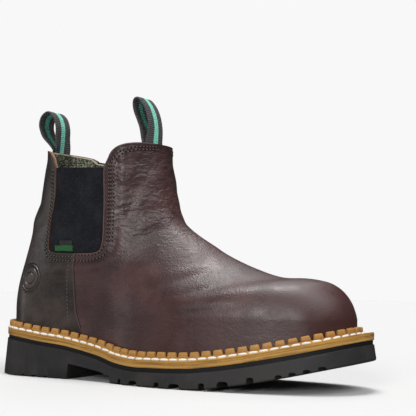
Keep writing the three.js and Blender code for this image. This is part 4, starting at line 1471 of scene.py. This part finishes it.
seam_edge = [(0.2575, 0.395)] + seam_rows[1:4] + [(0.2735, 0.01)]
# Path of a dark cord of painted shadow beside the seam's edge.
seam_shadow_line = [(s + 0.0045, h) for s, h in [(0.2575, 0.39)] + seam_rows[1:4] + [(0.2735, 0.012)]]
stitch_lift = 0.08

front_paths, rear_paths, seam_paths, edge_highlight_lines, seam_lines, seam_shadow_lines = [], [], [], [], [], []
for side in side_spans:
    for rows in front_stitches:
        front_paths.append(on_leather(rows, side, vamp_step + stitch_lift))
    for rows in rear_stitches:
        rear_paths.append(on_leather(rows, side, stitch_lift))
    seam_paths.append(on_leather(seam_stitches, side, 0.02))
    edge_highlight_lines.append(on_leather(front_edge[side], side, vamp_step + 0.05))
    seam_lines.append(on_leather(seam_edge, side, 0.5))
    seam_shadow_lines.append(on_leather(seam_shadow_line, side, vamp_step - 0.05))
pitch = 3.0
leather_stitch = pill(1.7, 0.9, 0.8, 6, 6)
needle_shade_mark = pill(2.1, 1.0, 0.75, 6, 5)
row_along(
    "front_stitches", front_paths, leather_stitch, pitch, thread_brown,
    jitter=0.06, seed=11,
)
row_along(
    "rear_stitches", rear_paths + seam_paths, leather_stitch, pitch, thread_olive,
    jitter=0.06, seed=41,
)
# Dark marks between the stitches are painted shade of the needle holes.
row_along(
    "needle_holes", [between(*path, pitch) for path in front_paths + rear_paths], needle_shade_mark, pitch,
    needle_hole_shade, turn=0.6, seed=71,
)
for shape in (tooth_shape, welt_stitch, leather_stitch, needle_shade_mark):
    bpy.data.objects.remove(shape)


def cord(name, paths, width, height, finish):
    """Low ridges along lines on the leather."""
    verts, faces = [], []
    sides = 8
    turn = np.linspace(0, 2 * np.pi, sides, endpoint=False)
    for points, ups in paths:
        ahead = np.gradient(points, axis=0)
        ahead /= np.linalg.norm(ahead, axis=1, keepdims=True)
        across = np.cross(ahead, ups)
        across /= np.linalg.norm(across, axis=1, keepdims=True)
        start, n = len(verts), len(points)
        for k in range(n):
            small = 0.3 if k in (0, n - 1) else 1.0
            for a in turn:
                arm = across[k] * math.cos(a) * width + ups[k] * math.sin(a) * height
                verts.append(points[k] + arm * small / 2)
        faces += ring_faces(n, sides, start)
        for end in (start, start + (n - 1) * sides):
            faces.append(tuple(range(end, end + sides)))
    piece = outwards(plain_object(name, to_frame(verts), faces))
    finish_piece(piece, finish, (), 180)


# Lighter brown cord along the flap's edges: the edge's own colour with a painted highlight.
edge_highlight_brown = plain_finish("flap_edge", (0.1, 0.06, 0.052), 0.5)
edge_tan = plain_finish("seam_edge", (0.085, 0.05, 0.04), 0.6)
seam_dark = plain_finish("seam_shadow", (0.008, 0.006, 0.006), 0.8)
cord("flap_edge", edge_highlight_lines, 0.9, 0.7, edge_highlight_brown)
cord("seam_edge", seam_lines, 0.8, 1.4, edge_tan)
# Painted shadow: a dark cord beside the seam's raw edge.
cord("seam_groove", seam_shadow_lines, 0.8, 0.4, seam_dark)


# Stage: white ground, soft studio light, the photo's view

def camera_turn(yaw, pitch, roll):
    """The camera's turn in radians; it looks along Y when all are nought."""
    level = math.cos(pitch)
    forward = Vector((-math.sin(yaw) * level, math.cos(yaw) * level, math.sin(pitch)))
    right = Vector((math.cos(yaw), math.sin(yaw), 0))
    down = forward.cross(right)
    c, s = math.cos(roll), math.sin(roll)
    x, y = right * c + down * s, -right * s + down * c
    return Matrix((x, -y, -forward)).transposed().to_4x4()


view = bpy.data.cameras.new("view")
view.lens, view.sensor_width, view.sensor_fit = 92.94, 36, "HORIZONTAL"
view.clip_start, view.clip_end = 0.05, 30
eye = bpy.data.objects.new("view", view)
bpy.context.scene.collection.objects.link(eye)
eye.matrix_world = Matrix.Translation((0.40087, -0.71392, 0.07954)) @ camera_turn(
    math.radians(27.8), math.radians(3.6), math.radians(-0.9)
)
bpy.context.scene.camera = eye


# Suns: the way the light goes, its strength and its angle in degrees
suns = {
    "key": ((0.06, -0.03, -0.99), 2.3, 26),
    "back": ((0.2, -0.55, -0.8), 0.42, 32),
    "side": ((-0.16, 0.94, -0.3), 1.5, 20),
    "left": ((0.94, 0.32, -0.1), 0.22, 30),
    "high": ((-0.6, 0.14, -0.78), 1.3, 34),
}
for name, (toward, power, angle) in suns.items():
    lamp = bpy.data.lights.new(name, "SUN")
    lamp.energy, lamp.angle = power, math.radians(angle)
    sun = bpy.data.objects.new(name, lamp)
    bpy.context.scene.collection.objects.link(sun)
    sun.rotation_euler = Vector(toward).to_track_quat("-Z", "Y").to_euler()

world = bpy.data.worlds.new("studio")
bpy.context.scene.world = world
world.use_nodes = True
background = world.node_tree.nodes["Background"].inputs
background["Color"].default_value = (0.82, 0.82, 0.82, 1)
background["Strength"].default_value = 0.06
bpy.context.scene.view_settings.view_transform = "Standard"

white = bpy.data.materials.new("backdrop_white")
white.use_nodes = True
nodes = white.node_tree.nodes
nodes.remove(nodes["Principled BSDF"])
glow = nodes.new("ShaderNodeEmission")
glow.inputs["Color"].default_value = (0.939, 0.939, 0.939, 1)
white.node_tree.links.new(glow.outputs[0], nodes["Material Output"].inputs["Surface"])

dome_mesh = bmesh.new()
bmesh.ops.create_icosphere(dome_mesh, subdivisions=3, radius=6)
bmesh.ops.reverse_faces(dome_mesh, faces=dome_mesh.faces)
dome = plain_object("backdrop", [], [])
dome_mesh.to_mesh(dome.data)
dome_mesh.free()
dome.data.materials.append(white)
for ray in ("diffuse", "glossy", "transmission", "volume_scatter", "shadow"):
    setattr(dome, "visible_" + ray, False)
dome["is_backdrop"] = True

floor = plain_object("ground", [(-3, -3, 0), (3, -3, 0), (3, 3, 0), (-3, 3, 0)], [(0, 1, 2, 3)])
floor.data.materials.append(plain_finish("paper", (0.7, 0.7, 0.7), 0.9))
floor.visible_glossy = False
floor.location.z = float(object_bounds()[0][2]) - 0.0002
floor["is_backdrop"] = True


def visual_box():
    """Corners of the box round all dressed pieces."""
    low, high = np.full(3, 1e9), np.full(3, -1e9)
    for item in bpy.data.objects:
        if item.type == "MESH" and item.name not in ("ground", "backdrop") and not item.hide_render:
            flat = np.empty(len(item.data.vertices) * 3)
            item.data.vertices.foreach_get("co", flat)
            p = flat.reshape(-1, 3)
            low, high = np.minimum(low, p.min(0)), np.maximum(high, p.max(0))
    return [low.tolist(), high.tolist()]


{"cad": [[float(v) for v in corner] for corner in cad_box], "visual": visual_box()}
